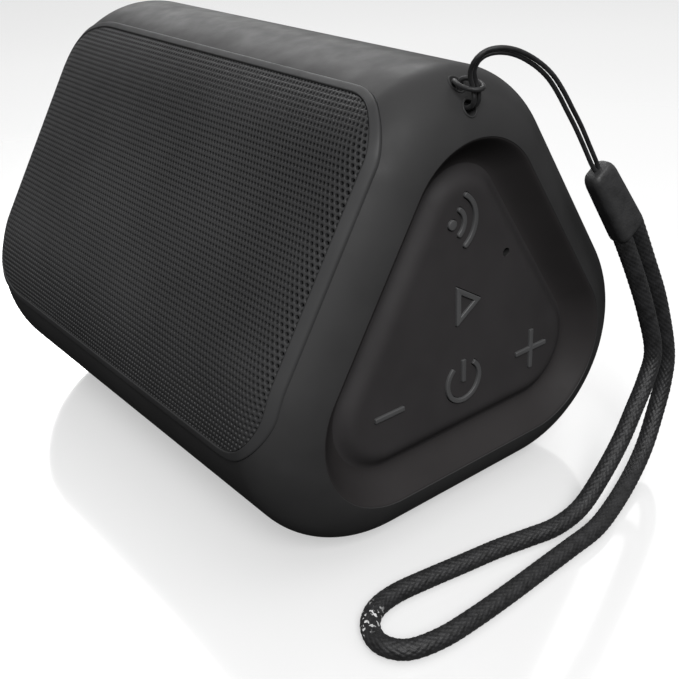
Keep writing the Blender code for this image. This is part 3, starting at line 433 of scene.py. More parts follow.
def add_painted_glints(yarn):
    """Pale flecks painted round the loop's fold: painted highlights that stand in for glints off
    the fibres.
    """
    distance = yarn.nodes.new("ShaderNodeVectorMath")
    distance.operation = "DISTANCE"
    yarn.links.new(yarn.place, distance.inputs[0])
    distance.inputs[1].default_value = LOOP_FOLD
    near = yarn.remap(distance.outputs["Value"], GLINT_REACH, GLINT_REACH * 0.4, 0.0, 1.0)
    near.interpolation_type = "SMOOTHSTEP"
    spots = yarn.remap(yarn.noise(1500, 1.0), 0.6, 0.66, 0.0, 1.0)
    both = yarn.nodes.new("ShaderNodeMath")
    both.operation = "MULTIPLY"
    yarn.links.new(near.outputs["Result"], both.inputs[0])
    yarn.links.new(spots.outputs["Result"], both.inputs[1])
    mix = yarn.nodes.new("ShaderNodeMix")
    mix.data_type = "RGBA"
    base = yarn.shader.inputs["Base Color"].links[0].from_socket
    yarn.links.new(both.outputs["Value"], mix.inputs["Factor"])
    yarn.links.new(base, mix.inputs["A"])
    mix.inputs["B"].default_value = GLINT_COLOUR
    yarn.links.new(mix.outputs["Result"], yarn.shader.inputs["Base Color"])
    return yarn


# ---------------------------------------------------------------- camera
CAMERA_ANGLES = (53.13, 27.70, -3.14)  # azimuth, elevation and roll in degrees
CAMERA_TARGET = Vector((8.94, 5.99, 14.45)) * MM
CAMERA_DISTANCE = 203.92 * MM
CAMERA_LENS = 54.56


def make_camera():
    azimuth, elevation, roll = (math.radians(v) for v in CAMERA_ANGLES)
    back = Vector((math.sin(azimuth) * math.cos(elevation),
                   -math.cos(azimuth) * math.cos(elevation), math.sin(elevation)))
    right = (-back).cross(Vector((0, 0, 1))).normalized()
    up = right.cross(-back).normalized()
    turned_right = right * math.cos(roll) + up * math.sin(roll)
    turned_up = -right * math.sin(roll) + up * math.cos(roll)
    data = bpy.data.cameras.new("camera")
    data.sensor_width = 36
    data.lens = CAMERA_LENS
    data.clip_start = 0.01
    data.clip_end = 20
    camera = add_object("camera", data)
    camera.matrix_world = Matrix.Translation(CAMERA_TARGET + back * CAMERA_DISTANCE) @ Matrix(
        (turned_right, turned_up, back)).transposed().to_4x4()
    bpy.context.scene.camera = camera


# ---------------------------------------------------------------- wrist strap
# Routes and STRAND_HALF_GAP are in millimetres.
STRAND_HALF_GAP = 0.42
CORD_DIAMETER = 0.7 * MM
STRAP_DIAMETER = 3 * MM
FERRULE_TOP = Vector((58.35, 19.4, 57.6)) * MM
FERRULE_BOTTOM = Vector((59.3, 26.9, 46.0)) * MM
# Midway between the thin cord's two strands, from the hitch to the ferrule.
CORD_MIDDLE = [
    (51.5, 0, 73.0), (51.5, -0.5, 74.4), (51.9, -0.8, 75.6), (52.6, -0.5, 76.9), (53.3, 0.6, 77.7),
    (54.2, 2.5, 77.8), (55.0, 5.0, 77.0), (55.8, 7.7, 75.3), (56.4, 10.0, 73.2), (56.9, 11.8, 70.7),
    (57.3, 13.5, 67.9), (57.6, 15.4, 64.9), (57.95, 17.2, 61.6), (58.3, 19.1, 58.1),
]
# One strand's way through the eyelet and round the other, mirrored for the second strand.
CORD_HITCH = [
    (51.9, 0.48, 71.8), (51.8, 0.48, 70.6), (51.0, 0.47, 69.8), (49.8, 0.46, 69.6),
    (48.8, 0.46, 69.8), (48.1, 0.46, 70.5), (47.9, 0.47, 71.6), (47.9, 0.5, 72.9),
    (48.4, 0.95, 73.4), (49.6, 1.6, 73.2), (51.1, 1.65, 72.9), (52.3, 1.0, 72.7),
]
# How far the pair of strands is turned at each point of CORD_MIDDLE.
CORD_TWIST = [math.radians(a) for a in (0, 0, 5, 15, 25, 35, 45, 50, 50, 50, 45, 35, 20, 10)]
CORD_CROWN = (52.75, 0, 72.6)
CORD_END = (58.45, 20.0, 56.8)
LOOP_ROUTE = [
    (59.2, 27.95, 47.6), (59.3, 28.55, 46.7), (59.7, 32.2, 39.2), (60.2, 35.9, 31.0),
    (61.0, 38.7, 20.6), (61.6, 38.0, 14.7), (62.4, 35.4, 9.6), (63.8, 31.2, 4.9),
    (65.8, 25.0, 2.2), (68.6, 16.8, 1.6),
    (70.5, 9.9, 1.6), (71.0, 3.3, 1.6), (71.4, -3.2, 1.6), (71.9, -11.2, 1.6), (72.2, -19.6, 1.6),
    (72.0, -26.0, 1.6), (70.5, -31.2, 1.6), (67.1, -33.3, 1.6), (63.5, -32.2, 1.6),
    (61.2, -29.2, 1.6), (60.6, -24.8, 1.6), (61.3, -19.0, 1.6), (62.4, -12.4, 1.6),
    (63.5, -5.6, 1.6), (64.8, 0.0, 1.6), (66.0, 5.6, 1.7), (66.0, 11.6, 2.6), (65.0, 18.0, 5.5),
    (63.8, 24.0, 9.2), (62.4, 29.0, 12.8), (61.4, 33.0, 16.6), (60.8, 35.2, 21.4),
    (60.2, 32.9, 29.6), (59.7, 29.4, 37.8), (59.3, 25.85, 44.9), (59.2, 25.25, 45.8),
]


def cord_route():
    """The thin cord: up one strand, through the eyelet's hitch, and back down the other."""
    middle = [Vector(p) for p in CORD_MIDDLE]
    strands = {1: [], -1: []}
    for i, point in enumerate(middle):
        run = middle[min(i + 1, len(middle) - 1)] - middle[max(i - 1, 0)]
        across = Vector((0, run.z, -run.y)).normalized()
        turn = Matrix.Rotation(CORD_TWIST[i], 3, run.normalized())
        for side in strands:
            strands[side].append(point + turn @ across * STRAND_HALF_GAP * side)
    hitch = {side: [Vector((x, y * side, z)) for x, y, z in CORD_HITCH] for side in (1, -1)}
    there = [Vector(CORD_END)] + strands[1][::-1] + hitch[1]
    back = hitch[-1][::-1] + strands[-1] + [Vector(CORD_END)]
    return there + [Vector(CORD_CROWN)] + back


def smooth(points, spacing):
    """Points spacing apart on a smooth curve through points, as an array in metres."""
    route = [np.array(p, float) * MM for p in points]
    padded = [2 * route[0] - route[1]] + route + [2 * route[-1] - route[-2]]
    fine = []
    for i in range(1, len(padded) - 2):
        a, b, c, d = padded[i - 1:i + 3]
        for t in np.arange(24) / 24:
            fine.append(0.5 * (2 * b + (c - a) * t + (2 * a - 5 * b + 4 * c - d) * t ** 2
                               + (3 * b - a - 3 * c + d) * t ** 3))
    fine.append(route[-1])
    fine = np.array(fine)
    lengths = np.concatenate(([0], np.cumsum(np.linalg.norm(np.diff(fine, axis=0), axis=1))))
    places = np.linspace(0, lengths[-1], max(2, round(lengths[-1] / spacing)) + 1)
    line = np.stack([np.interp(places, lengths, fine[:, k]) for k in range(3)], axis=1)
    window = max(1, round(1.2 * MM / spacing))
    kernel = np.hanning(2 * window + 3)[1:-1]
    kernel /= kernel.sum()
    extended = np.concatenate((2 * line[:1] - line[window:0:-1], line,
                               2 * line[-1:] - line[-2:-window - 2:-1]))
    return np.stack([np.convolve(extended[:, k], kernel, "valid") for k in range(3)], axis=1)


def frames_along(line):
    """Two directions across the line at each point, turning as little as possible."""
    tangent = np.gradient(line, axis=0)
    tangent /= np.linalg.norm(tangent, axis=1)[:, None]
    side = np.cross(tangent[0], (0.3, 0.2, 1.0))
    sides = []
    for t in tangent:
        side = side - t * side.dot(t)
        side /= np.linalg.norm(side)
        sides.append(side)
    sides = np.array(sides)
    return sides, np.cross(tangent, sides)


def braided_tube(name, line, diameter, carriers, pitch, relief, around, material):
    """A braided cord: two families of yarns that pass over and under each other.

    pitch is how far along a yarn crosses the next, and relief its share of the radius.
    """
    sides, ups = frames_along(line)
    lengths = np.concatenate(([0], np.cumsum(np.linalg.norm(np.diff(line, axis=0), axis=1))))
    angle = np.arange(around) / around * 2 * math.pi
    turns = angle[None, :] / (2 * math.pi) * carriers
    travel = lengths[:, None] / pitch
    u, v = (turns + travel), (turns - travel)
    over = ((np.floor(u) + np.floor(v)) % 2).astype(bool)
    across = np.where(over, u - np.floor(u), v - np.floor(v)) - 0.5
    along = np.where(over, v - np.floor(v), u - np.floor(u)) - 0.5
    crown = 0.72 + 0.28 * np.cos(along * math.pi)
    height = np.sqrt(np.clip(1 - (across * 1.9) ** 2, 0, 1)) * crown
    radius = diameter / 2 * (1 - relief + relief * 1.35 * height)
    points = line[:, None, :] + radius[..., None] * (
        np.cos(angle)[None, :, None] * sides[:, None, :]
        + np.sin(angle)[None, :, None] * ups[:, None, :])
    index = np.arange(len(line) * around).reshape(len(line), around)
    right = np.roll(index, -1, axis=1)
    faces = np.stack((index[:-1], right[:-1], right[1:], index[1:]), axis=-1).reshape(-1, 4)
    faces = [tuple(f) for f in faces.tolist()]
    faces.append(tuple(index[0][::-1].tolist()))
    faces.append(tuple(index[-1].tolist()))
    return from_arrays(name, points.reshape(-1, 3).tolist(), faces, material, 80)


def make_strap(m):
    """Braided hand loop, thin cord and the ferrule that joins them."""
    loop_line = smooth(LOOP_ROUTE, 0.16 * MM)
    loop = braided_tube("hand_loop", loop_line, STRAP_DIAMETER, 12, 1.25 * MM, 0.12, 72, m["braid"])
    stands_for(loop, "speaker", "strap_braid", "strap_loop")
    cord_line = smooth(cord_route(), 0.12 * MM)
    cord = braided_tube("thin_cord", cord_line, CORD_DIAMETER, 4, 0.8 * MM, 0.07, 20, m["cord"])
    stands_for(cord, "speaker", "strap_braid", "strap_cord")
    ferrule = make_ferrule(m)


# Share of the way down, then half the width and half the thickness in millimetres.
FERRULE_SHAPE = [
    (0.0, 1.1, 0.8), (0.0, 1.6, 1.1), (0.006, 1.85, 1.28), (0.022, 2.1, 1.46), (0.05, 2.32, 1.6),
    (0.09, 2.46, 1.7), (0.14, 2.53, 1.75), (0.4, 2.66, 1.8), (0.8, 2.84, 1.86), (0.93, 2.9, 1.88),
    (0.97, 2.88, 1.85), (0.99, 2.8, 1.78), (1.0, 2.66, 1.62), (1.0, 2.3, 1.3),
]


def make_ferrule(m):
    """Moulded block that grips the thin cord at one end and the braid at the other."""
    down = (FERRULE_BOTTOM - FERRULE_TOP).normalized()
    wide = Vector((0, -down.z, down.y)).normalized()
    thick = down.cross(wide).normalized()
    length = (FERRULE_BOTTOM - FERRULE_TOP).length
    rings = []
    for share, half_wide, half_thick in FERRULE_SHAPE:
        corner = min(1.15, half_thick * 0.72) * MM
        loop = rounded_loop(half_wide * MM, -half_thick * MM, half_thick * MM, corner, 8, 4, 10)
        centre = FERRULE_TOP + down * length * share
        rings.append([centre + wide * a + thick * b for a, b in loop])
    ferrule = loft("cord_ferrule", rings, m["ferrule"], angle=50)
    return stands_for(ferrule, "speaker", "ferrule_plastic", "strap_ferrule")


# ---------------------------------------------------------------- casing and grille
INNER_END = (43.9, 3.06)  # (x, inset) where the shell's inside meets the recess's back
INNER_LIP = (49.6, 9.2)
FOOT_Y = 13.6
EYELET_RADIUS = 1 * MM
EYELET_RIM_RADIUS = 1.14 * MM
EYELET_RIM_THICKNESS = 0.17 * MM


def shell_profile():
    """(x, inset) pairs round the shell's wall: domed outside, lip, and flat inside."""
    outer = []
    end = math.acos(1 - MOUTH_INSET / DOME_INSET)
    for i in range(31):
        a = end * i / 30
        x = LENGTH / 2 - DOME_LENGTH + DOME_LENGTH * math.sin(a)
        outer.append((x / MM, DOME_INSET * (1 - math.cos(a)) / MM))
    mouth_x, mouth_inset = outer[-1][0] - 0.03, outer[-1][1] - 0.03
    outer[-1] = (mouth_x, mouth_inset)
    lip = [(mouth_x - 0.05, 9.13), (mouth_x - 0.16, 9.2)]
    half = outer + lip + [INNER_LIP, INNER_END]
    profile = [(-x, i) for x, i in reversed(half)][2:] + half
    return profile + [(-x, i) for x, i in (INNER_END, INNER_LIP)]


def front_cutter():
    """The grille's opening, which follows the shell's curve."""
    loop = front_loop(-0.06 * MM)
    middle = sum(GRILLE_W) / 2
    scales = (0.3, 0.55, 0.75, 0.88, 0.95, 1.0)

    def ring(scale, height):
        return [front_point(x * scale, middle + (w - middle) * scale, height) for x, w in loop]

    rings = [ring(s, -4.4 * MM) for s in scales] + [ring(s, 2 * MM) for s in reversed(scales)]
    return loft("front_cutter", rings)


def make_casing(m):
    """Soft-touch shell with a crisp lip round each end's recess."""
    casing = section_loft("shell_casing", shell_profile(), m["soft"], closed=True)
    plan = rounded_loop(31 * MM, -10 * MM, 10 * MM, 4 * MM, 1, 1, 12)
    cutters = [front_cutter()]
    cutters.append(loft("under_cutter", [[Vector((x, y, z)) for x, y in plan]
                                         for z in (-1 * MM, 6 * MM)]))
    for side in (-1, 1):
        cutters.append(box("foot_cutter", (-34.25, side * FOOT_Y - 1.85, -1),
                           (34.25, side * FOOT_Y + 1.85, 2)))
    cutters.append(cylinder("eyelet_end", EYELET_RADIUS, 46.95 * MM, 54 * MM,
                            along_x(0, EYELET_Z)))
    cutters.append(cylinder("eyelet_top", EYELET_RADIUS, EYELET_Z - 0.9 * MM, 76 * MM,
                            Matrix.Translation((EYELET_X, 0, 0))))
    boolean(casing, cutters)
    stands_for(casing, "speaker", "soft_touch", "casing")
    for name, frame_at in (("eyelet_end_rim", end_rim_frame), ("eyelet_top_rim", top_rim_frame)):
        rings = []
        for i in range(40):
            centre, normal, away = frame_at(2 * math.pi * i / 40)
            normal.normalize()
            away = (away - normal * away.dot(normal)).normalized()
            rings.append([centre + (away * math.cos(b) + normal * math.sin(b))
                          * EYELET_RIM_THICKNESS
                          for b in (2 * math.pi * k / 12 for k in range(12))])
        rim = loft(name, rings, m["soft"], closed=True)
        stands_for(rim, "speaker", "soft_touch")


def end_rim_frame(angle):
    """Centre of the rim's bead, the skin's normal, and the way out, at the eyelet's end mouth."""
    y, rise = EYELET_RIM_RADIUS * math.cos(angle), EYELET_RIM_RADIUS * math.sin(angle)
    z = EYELET_Z + rise
    inset = TOP_RADIUS - math.hypot(y, z - TOP_Z - FOOT_HEIGHT)
    slant = math.asin(1 - inset / DOME_INSET)
    normal = Vector((math.cos(slant) * DOME_INSET, 0, math.sin(slant) * DOME_LENGTH))
    return (Vector((dome_x(inset), y, z)), normal,
            Vector((0, math.cos(angle), math.sin(angle))))


def top_rim_frame(angle):
    """The same at the eyelet's top mouth."""
    x = EYELET_X + EYELET_RIM_RADIUS * math.sin(angle)
    y = EYELET_RIM_RADIUS * math.cos(angle)
    z = TOP_Z + FOOT_HEIGHT + math.sqrt((TOP_RADIUS - dome_inset(x)) ** 2 - y * y)
    return (Vector((x, y, z)), Vector((0.35, 0, 1)),
            Vector((math.sin(angle), math.cos(angle), 0)))


# How far in from the opening's edge and how far out from the skin, in millimetres.
BORDER_PROFILE = [(0, -2.6), (0, 0.1), (0.04, 0.2), (0.12, 0.27), (0.24, 0.3), (0.5, 0.3),
                  (1.3, 0.3), (1.4, 0.29), (1.46, 0.25), (1.5, 0.18), (1.5, -2.6)]


def make_grille(m):
    """Border frame and the perforated sheet inside it, in two halves for the face limit."""
    rings = [[front_point(x, w, out * MM) for x, w in front_loop(shrink * MM)]
             for shrink, out in BORDER_PROFILE]
    frame_ring = loft("grille_border", rings, m["frame"], closed=True, angle=40)
    stands_for(frame_ring, "speaker", "frame_plastic", "grille_frame")
    for name, part in (("grille_sheet_left", -1), ("grille_sheet_right", 1)):
        sheet = perforated(name, part, m["sheet"])
        stands_for(sheet, "speaker", "grille_steel", "front_grille")


def held_inside(x, w, margin):
    """The point, moved inwards if it lies nearer than margin to the frame's inner edge.

    The third value is how far it had to move.
    """
    along = w - sum(GRILLE_W) / 2
    radius = GRILLE_RADIUS - FRAME_WIDTH
    dx = abs(x) - (GRILLE_HALF_X - FRAME_WIDTH - radius)
    dw = abs(along) - ((GRILLE_W[1] - GRILLE_W[0]) / 2 - FRAME_WIDTH - radius)
    if dx > 0 and dw > 0:
        reach = math.hypot(dx, dw)
        nx, nw = dx / reach, dw / reach
    else:
        reach = max(dx, dw)
        nx, nw = (1.0, 0.0) if dx > dw else (0.0, 1.0)
    excess = reach - (radius - margin)
    if excess <= 0:
        return x, w, excess
    return x - math.copysign(nx * excess, x), w - math.copysign(nw * excess, along), excess


HOLE_PITCH = 0.82 * MM
ROW_STEP = 0.93 * MM
HOLE_RADIUS = 0.29 * MM
HOLE_SIDES = 12
SHEET_GAP = 0.1 * MM  # between the sheet and the frame
SHEET_TOP, SHEET_BOTTOM = 0.08 * MM, -0.5 * MM


def cell_outline():
    """Twelve points round one hole's cell, shared with its six neighbours."""
    half = HOLE_PITCH / 2
    near = ROW_STEP / 2 - HOLE_PITCH ** 2 / (8 * ROW_STEP)
    far = ROW_STEP - near
    return [(half, 0), (half, near), (half / 2, ROW_STEP / 2), (0, far),
            (-half / 2, ROW_STEP / 2), (-half, near), (-half, 0), (-half, -near),
            (-half / 2, -ROW_STEP / 2), (0, -far), (half / 2, -ROW_STEP / 2), (half, -near)]


def perforated(name, part, material):
    """Half of the sheet: staggered cells, each with a round hole whose wall has real depth."""
    outline = cell_outline()
    circle = [(math.cos(math.pi / 6 * k), math.sin(math.pi / 6 * k)) for k in range(HOLE_SIDES)]
    rows = int((GRILLE_W[1] - GRILLE_W[0]) / ROW_STEP) + 2
    columns = int(2 * GRILLE_HALF_X / HOLE_PITCH) + 2
    flat, faces, index = [], [], {}

    def vertex(x, w, out):
        x, w, _ = held_inside(x, w, SHEET_GAP)
        key = (round(x * 4e5), round(w * 4e5), round(out * 1e6))
        if key not in index:
            index[key] = len(flat)
            flat.append((x, w, out))
        return index[key]

    def face(*corners):
        kept = [c for i, c in enumerate(corners) if c != corners[i - 1]]
        if len(set(kept)) == len(kept) > 2:
            faces.append(tuple(kept))

    def round_hole(x, w, radius, out):
        return [vertex(x + a * radius, w + b * radius, out) for a, b in circle]

    for row in range(rows):
        w = GRILLE_W[0] + row * ROW_STEP
        for column in range(columns):
            x = (column - columns // 2) * HOLE_PITCH + (HOLE_PITCH / 2 if row % 2 else 0)
            outside = held_inside(x, w, SHEET_GAP)[2]
            if (x >= 0) != (part > 0) or outside > 0.4 * MM:
                continue
            ring = [vertex(x + a, w + b, SHEET_TOP) for a, b in outline]
            if outside > 0.15 * MM:
                face(*ring)
                continue
            levels = [ring, round_hole(x, w, HOLE_RADIUS + 0.05 * MM, SHEET_TOP),
                      round_hole(x, w, HOLE_RADIUS, SHEET_TOP - 0.04 * MM),
                      round_hole(x, w, HOLE_RADIUS, SHEET_BOTTOM)]
            for k in range(HOLE_SIDES):
                n = (k + 1) % HOLE_SIDES
                for upper, lower in zip(levels, levels[1:]):
                    face(upper[k], upper[n], lower[n], lower[k])
    points = [tuple(front_point(x, w, out)) for x, w, out in flat]
    return from_arrays(name, points, faces, material, 60)


# ---------------------------------------------------------------- the two ends
def arc(centre, radius, start, end, steps):
    """Points on a circle from one angle to another, in degrees."""
    angles = [math.radians(start + (end - start) * i / steps) for i in range(steps + 1)]
    return [(centre[0] + radius * math.cos(a), centre[1] + radius * math.sin(a)) for a in angles]


def stroke(path, half, square=False):
    """Outline of a line of constant width, following path, with round or square ends."""
    count = len(path)
    headings = []
    for i in range(count):
        a, b = path[max(0, i - 1)], path[min(count - 1, i + 1)]
        headings.append(math.atan2(b[1] - a[1], b[0] - a[0]))
    left = [(p[0] - half * math.sin(h), p[1] + half * math.cos(h)) for p, h in zip(path, headings)]
    right = [(p[0] + half * math.sin(h), p[1] - half * math.cos(h)) for p, h in zip(path, headings)]
    caps = []
    for place, heading in ((path[-1], headings[-1]), (path[0], headings[0] + math.pi)):
        cap = []
        corner = half * 0.35 if square else half
        for side in (1, -1):
            reach = half - corner
            base = (place[0] - side * reach * math.sin(heading),
                    place[1] + side * reach * math.cos(heading))
            start = math.degrees(heading) + (90 if side > 0 else 0)
            cap += arc(base, corner, start, start - 90, 5)
        caps.append(cap[1:-1])
    return left + caps[0] + right[::-1] + caps[1]


def glyph_waves(half):
    """A dot and two arcs, for the wireless link."""
    source = (-2.6 * MM, 0)
    dot = arc(source, 0.4 * MM + half, 0, 348, 29)
    near = stroke(arc(source, 2.5 * MM, -52, 52, 24), half)
    far = stroke(arc(source, 4.9 * MM, -55, 55, 36), half)
    return [dot, near, far]


def triangle(grow, corner=0.3):
    """The play sign's outline, grown all round, its corners slightly rounded."""
    half_height, length = 3.45 * MM, 5.3 * MM
    slant = math.hypot(half_height, length)
    inradius = half_height * length / (half_height + slant)
    scale = (inradius + grow) / inradius
    middle = -length / 2 + inradius
    corners = [(-length / 2, -half_height), (length / 2, 0), (-length / 2, half_height)]
    corners = [Vector((middle + (y - middle) * scale, z * scale)) for y, z in corners]
    outline = []
    for i in range(3):
        before, here, after = corners[i - 1], corners[i], corners[(i + 1) % 3]
        a = here + (before - here).normalized() * corner * MM
        b = here + (after - here).normalized() * corner * MM
        for k in range(7):
            t = k / 6
            outline.append(tuple(a * (1 - t) ** 2 + here * 2 * t * (1 - t) + b * t ** 2))
    return outline


def bar(start, end, half):
    path = [(start[0] + (end[0] - start[0]) * i / 4, start[1] + (end[1] - start[1]) * i / 4)
            for i in range(5)]
    return stroke(path, half, square=True)


def glyph_power(half):
    ring = stroke(arc((0, -0.15 * MM), 3.5 * MM, 130, 410, 60), half, square=True)
    return [ring, bar((0, -0.1 * MM), (0, 3.6 * MM), half)]


def glyph_minus(half):
    return [bar((-2.8 * MM, 0), (2.8 * MM, 0), half)]


def glyph_plus(half):
    return [bar((-3.5 * MM, 0), (3.5 * MM, 0), half), bar((0, -3.5 * MM), (0, 3.5 * MM), half)]


def glyph_play(half):
    return [triangle(half - STROKE)]


# Centre (y, z) and the hidden base's radius in millimetres, then the sign.
KEYS = {
    "link": ((0, 52.4), 4.9, glyph_waves),
    "play": ((1.0, 38.5), 4.5, glyph_play),
    "power": ((0, 24.9), 4.8, glyph_power),
    "minus": ((-15.8, 24.9), 4.2, glyph_minus),
    "plus": ((15.8, 24.9), 4.7, glyph_plus),
}


def prism(name, outlines, centre, material=None):
    """Stack (outline, x) levels about centre into a solid."""
    rings = [[Vector((x, centre[0] + y, centre[1] + z)) for y, z in outline]
             for outline, x in outlines]
    return loft(name, rings, material, angle=40)


def make_key(name, m):
    """A key with softly rounded raised strokes on its hidden base."""
    (y, z), radius, glyph = KEYS[name]
    centre = (y * MM, z * MM)
    # Turned a little, so that no corner of the base meets a corner of the sign.
    turn = Matrix.Rotation(math.radians(4), 4, "Z")
    key = turned(f"raised_{name}", [(radius * MM, 47 * MM), (radius * MM, 47.9 * MM)],
                 along_x(*centre) @ turn, m["key"], 48)
    levels = [(0, 47.6 * MM), (0, KEY_TOP_X - 0.15 * MM), (-0.02 * MM, KEY_TOP_X - 0.08 * MM),
              (-0.06 * MM, KEY_TOP_X - 0.03 * MM), (-0.12 * MM, KEY_TOP_X - 0.006 * MM),
              (-0.18 * MM, KEY_TOP_X)]
    for i in range(len(glyph(STROKE))):
        stem = prism("stem", [(glyph(STROKE + grow)[i], x) for grow, x in levels], centre)
        boolean(key, [stem], "UNION")
    if name == "play":
        hollow_out_triangle(key, centre, m)
    stands_for(key, f"key_{name}", "key_rubber", f"key_{name}")


def hollow_out_triangle(key, centre, m):
    """Cut the triangle's middle down to the pad's level, in the pad's colour."""
    floor_x = 49.68 * MM
    depths = [(-0.86 * MM, floor_x), (-0.86 * MM, KEY_TOP_X - 0.1 * MM),
              (-0.8 * MM, KEY_TOP_X - 0.03 * MM), (-0.7 * MM, KEY_TOP_X + 0.05 * MM)]
    hollow = prism("hollow", [(triangle(grow, 0.12), x) for grow, x in depths], centre)
    boolean(key, [hollow])
    key.data.materials.append(m["pad"])
    for face in key.data.polygons:
        if 49.6 * MM < face.center.x < 49.72 * MM and face.normal.x > 0.9:
            face.material_index = 1


# (x, inset) in millimetres: the recess's sloped wall, and the pad's pillowed edge.
WALL = [
    (43.8, 4.2), (44.4, 4.2), (49.3, 9.24), (52.1, 9.12), (52.2, 9.17), (52.2, 9.26),
    (52.12, 9.4), (51.7, 9.77), (50.9, 10.42), (49.9, 11.25), (49.2, 11.9), (48.7, 12.45),
    (48.35, 12.9), (48.14, 13.25), (48.03, 13.55), (47.98, 13.85), (47.9, 14.1), (47.2, 14.1),
    (46.6, 13.3), (46.4, 10.6), (43.8, 7.8),
]
DISH = [
    (48.3, 17), (45, 17), (45, 11.2), (46.1, 11.2), (46.5, 13.3), (47.6, 13.4), (47.95, 13.6),
    (47.99, 13.85), (48.06, 14.15), (48.22, 14.5), (48.5, 14.9), (48.82, 15.3), (49.12, 15.7),
    (49.36, 16.1), (49.53, 16.5), (49.64, 16.95), (49.69, 17.4), (49.7, 17.9), (49.7, 18.6),
]


def make_control_end(m):
    """Sloped wall, pillowed pad with fine slots round the raised signs, and the keys."""
    wall = section_loft("recess_wall", WALL, m["wall"], closed=True)
    stands_for(wall, "speaker", "soft_touch", "control_bezel")
    pad = section_loft("button_pad", DISH, m["pad"], angle=50)
    slots = []
    for (y, z), _, glyph in KEYS.values():
        for outline in glyph(STROKE + KEY_CLEARANCE):
            slots.append(prism("slot", [(outline, 47.5 * MM), (outline, 52 * MM)],
                               (y * MM, z * MM)))
    hole = [(0.76 * MM, 52 * MM), (0.72 * MM, 49.6 * MM), (0.72 * MM, 47 * MM)]
    slots.append(turned("mic_hole", hole, along_x(*MICROPHONE)))
    boolean(pad, slots, angle=50)
    stands_for(pad, "speaker", "silicone", "control_pad")
    cup = [(0.7 * MM, 47.7 * MM), (0.7 * MM, 49.5 * MM), (0.66 * MM, 49.54 * MM),
           (0.62 * MM, 48.0 * MM)]
    lining = turned("microphone_port", cup, along_x(*MICROPHONE), m["black"])
    stands_for(lining, "speaker", "jack_black")
    for name in KEYS:
        make_key(name, m)


def make_port_end(m):
    """The other end: the same recess, a panel and a rubber door with a finger lip."""
    wall = section_loft("port_recess_wall", WALL, m["wall"], side=-1, closed=True)
    stands_for(wall, "speaker", "soft_touch", "port_bezel")
    panel = section_loft("port_face", [(46.2, 17)] + DISH[1:], m["pad"], side=-1, angle=50)
    well = box("well", (-52, -15.2, 20.7), (-47.7, 15.2, 34.8), bevel=0.6)
    usb = box("usb", (-50, -11.25, 25.55), (-44, -1.75, 29.45), bevel=1.2)
    jack = cylinder("jack", 3.3 * MM, -50 * MM, -44 * MM, along_x(7.5 * MM, 27.5 * MM))
    light = cylinder("light", 1.05 * MM, -52 * MM, -44 * MM, along_x(0, 41 * MM))
    boolean(panel, [well, usb, jack, light], angle=50)
    stands_for(panel, "speaker", "soft_touch", "port_panel")
    door = box("rubber_door", (-49.68, -15, 20.95), (-48, 15, 34.6), m["rubber"], bevel=0.45)
    lip = box("lip", (-49.85, -4, 33.2), (-49.0, 4, 34.3), bevel=0.25)
    groove = box("groove", (-50, -13.6, 22.5), (-49.5, 13.6, 22.9))
    boolean(door, [groove])
    boolean(door, [lip], "UNION")
    stands_for(door, "port_door", "rubber", "port_door")


def make_underside(m):
    """Feet with rounded ends and the slotted guard."""
    for name, side in (("foot_front", -1), ("foot_rear", 1)):
        rings = []
        for inset, z in ((0.5, 0.0), (0.2, 0.06), (0.05, 0.2), (0.0, 0.45), (0.0, 1.68)):
            half_x, half_y = (33.98 - inset) * MM, (1.58 - inset) * MM
            loop = rounded_loop(half_x, -half_y, half_y, half_y * 0.98, 2, 2, 12)
            rings.append([Vector((x, y + side * FOOT_Y * MM, z * MM)) for x, y in loop])
        foot = loft(f"rubber_{name}", rings, m["rubber"], angle=40)
        stands_for(foot, "speaker", "rubber", name)
    rings = []
    for inset, z in ((0.6, 1.5), (0.25, 1.56), (0.05, 1.75), (0.0, 2.0), (0.0, 3.1)):
        half_x, half_y = (30.7 - inset) * MM, (9.7 - inset) * MM
        loop = rounded_loop(half_x, -half_y, half_y, (3.7 - inset) * MM, 2, 2, 12)
        rings.append([Vector((x, y, z * MM)) for x, y in loop])
    guard = loft("slotted_guard", rings, m["frame"], angle=40)
    slots = []
    for i in range(9):
        x = (i - 4) * 6.2 * MM
        loop = rounded_loop(1.6 * MM, -7.6 * MM, 7.6 * MM, 1.55 * MM, 1, 1, 10)
        slots.append(loft("slot", [[Vector((x + a, b, z)) for a, b in loop]
                                   for z in (0, 5 * MM)]))
    boolean(guard, slots, angle=40)
    stands_for(guard, "speaker", "frame_plastic", "bottom_grille")


# ---------------------------------------------------------------- carried-over pieces
# Finish of each CAD node, or of each node whose name starts so.
FINISHES = {
    "chassis": "inner", "grille_cloth": "cloth", "foam_seal": "foam", "dome_sheet": "steel",
    "key_board": "board", "microphone": "steel", "control_end_plate": "inner",
    "port_end_plate": "inner", "usb_socket": "steel", "aux_jack": "black", "charge_light": "pipe",
    "port_board": "board", "radiator_frame": "inner", "radiator_surround": "rubber",
    "radiator_plate": "inner", "radiator_weight": "steel", "battery_cell": "wrap",
    "battery_tray": "inner", "main_board": "board", "ribbon_cable": "copper",
    "driver_basket": "inner", "driver_magnet": "magnet", "driver_yoke": "steel",
    "driver_surround": "rubber", "driver_cone": "cone", "voice_coil": "copper",
    "control_screw": "steel", "port_screw": "steel",
}


def finish_nodes(m):
    """Give every CAD piece that no other piece replaces its finish and smooth shading."""
    for name, node in NODES.items():
        if node.hide_render:
            continue
        kind = next((k for k in FINISHES if name == k or name.startswith(k + "_")), "chassis")
        node.data.materials.clear()
        node.data.materials.append(m[FINISHES[kind]])
        node.data.shade_smooth()
        node.data.set_sharp_from_angle(angle=math.radians(35))


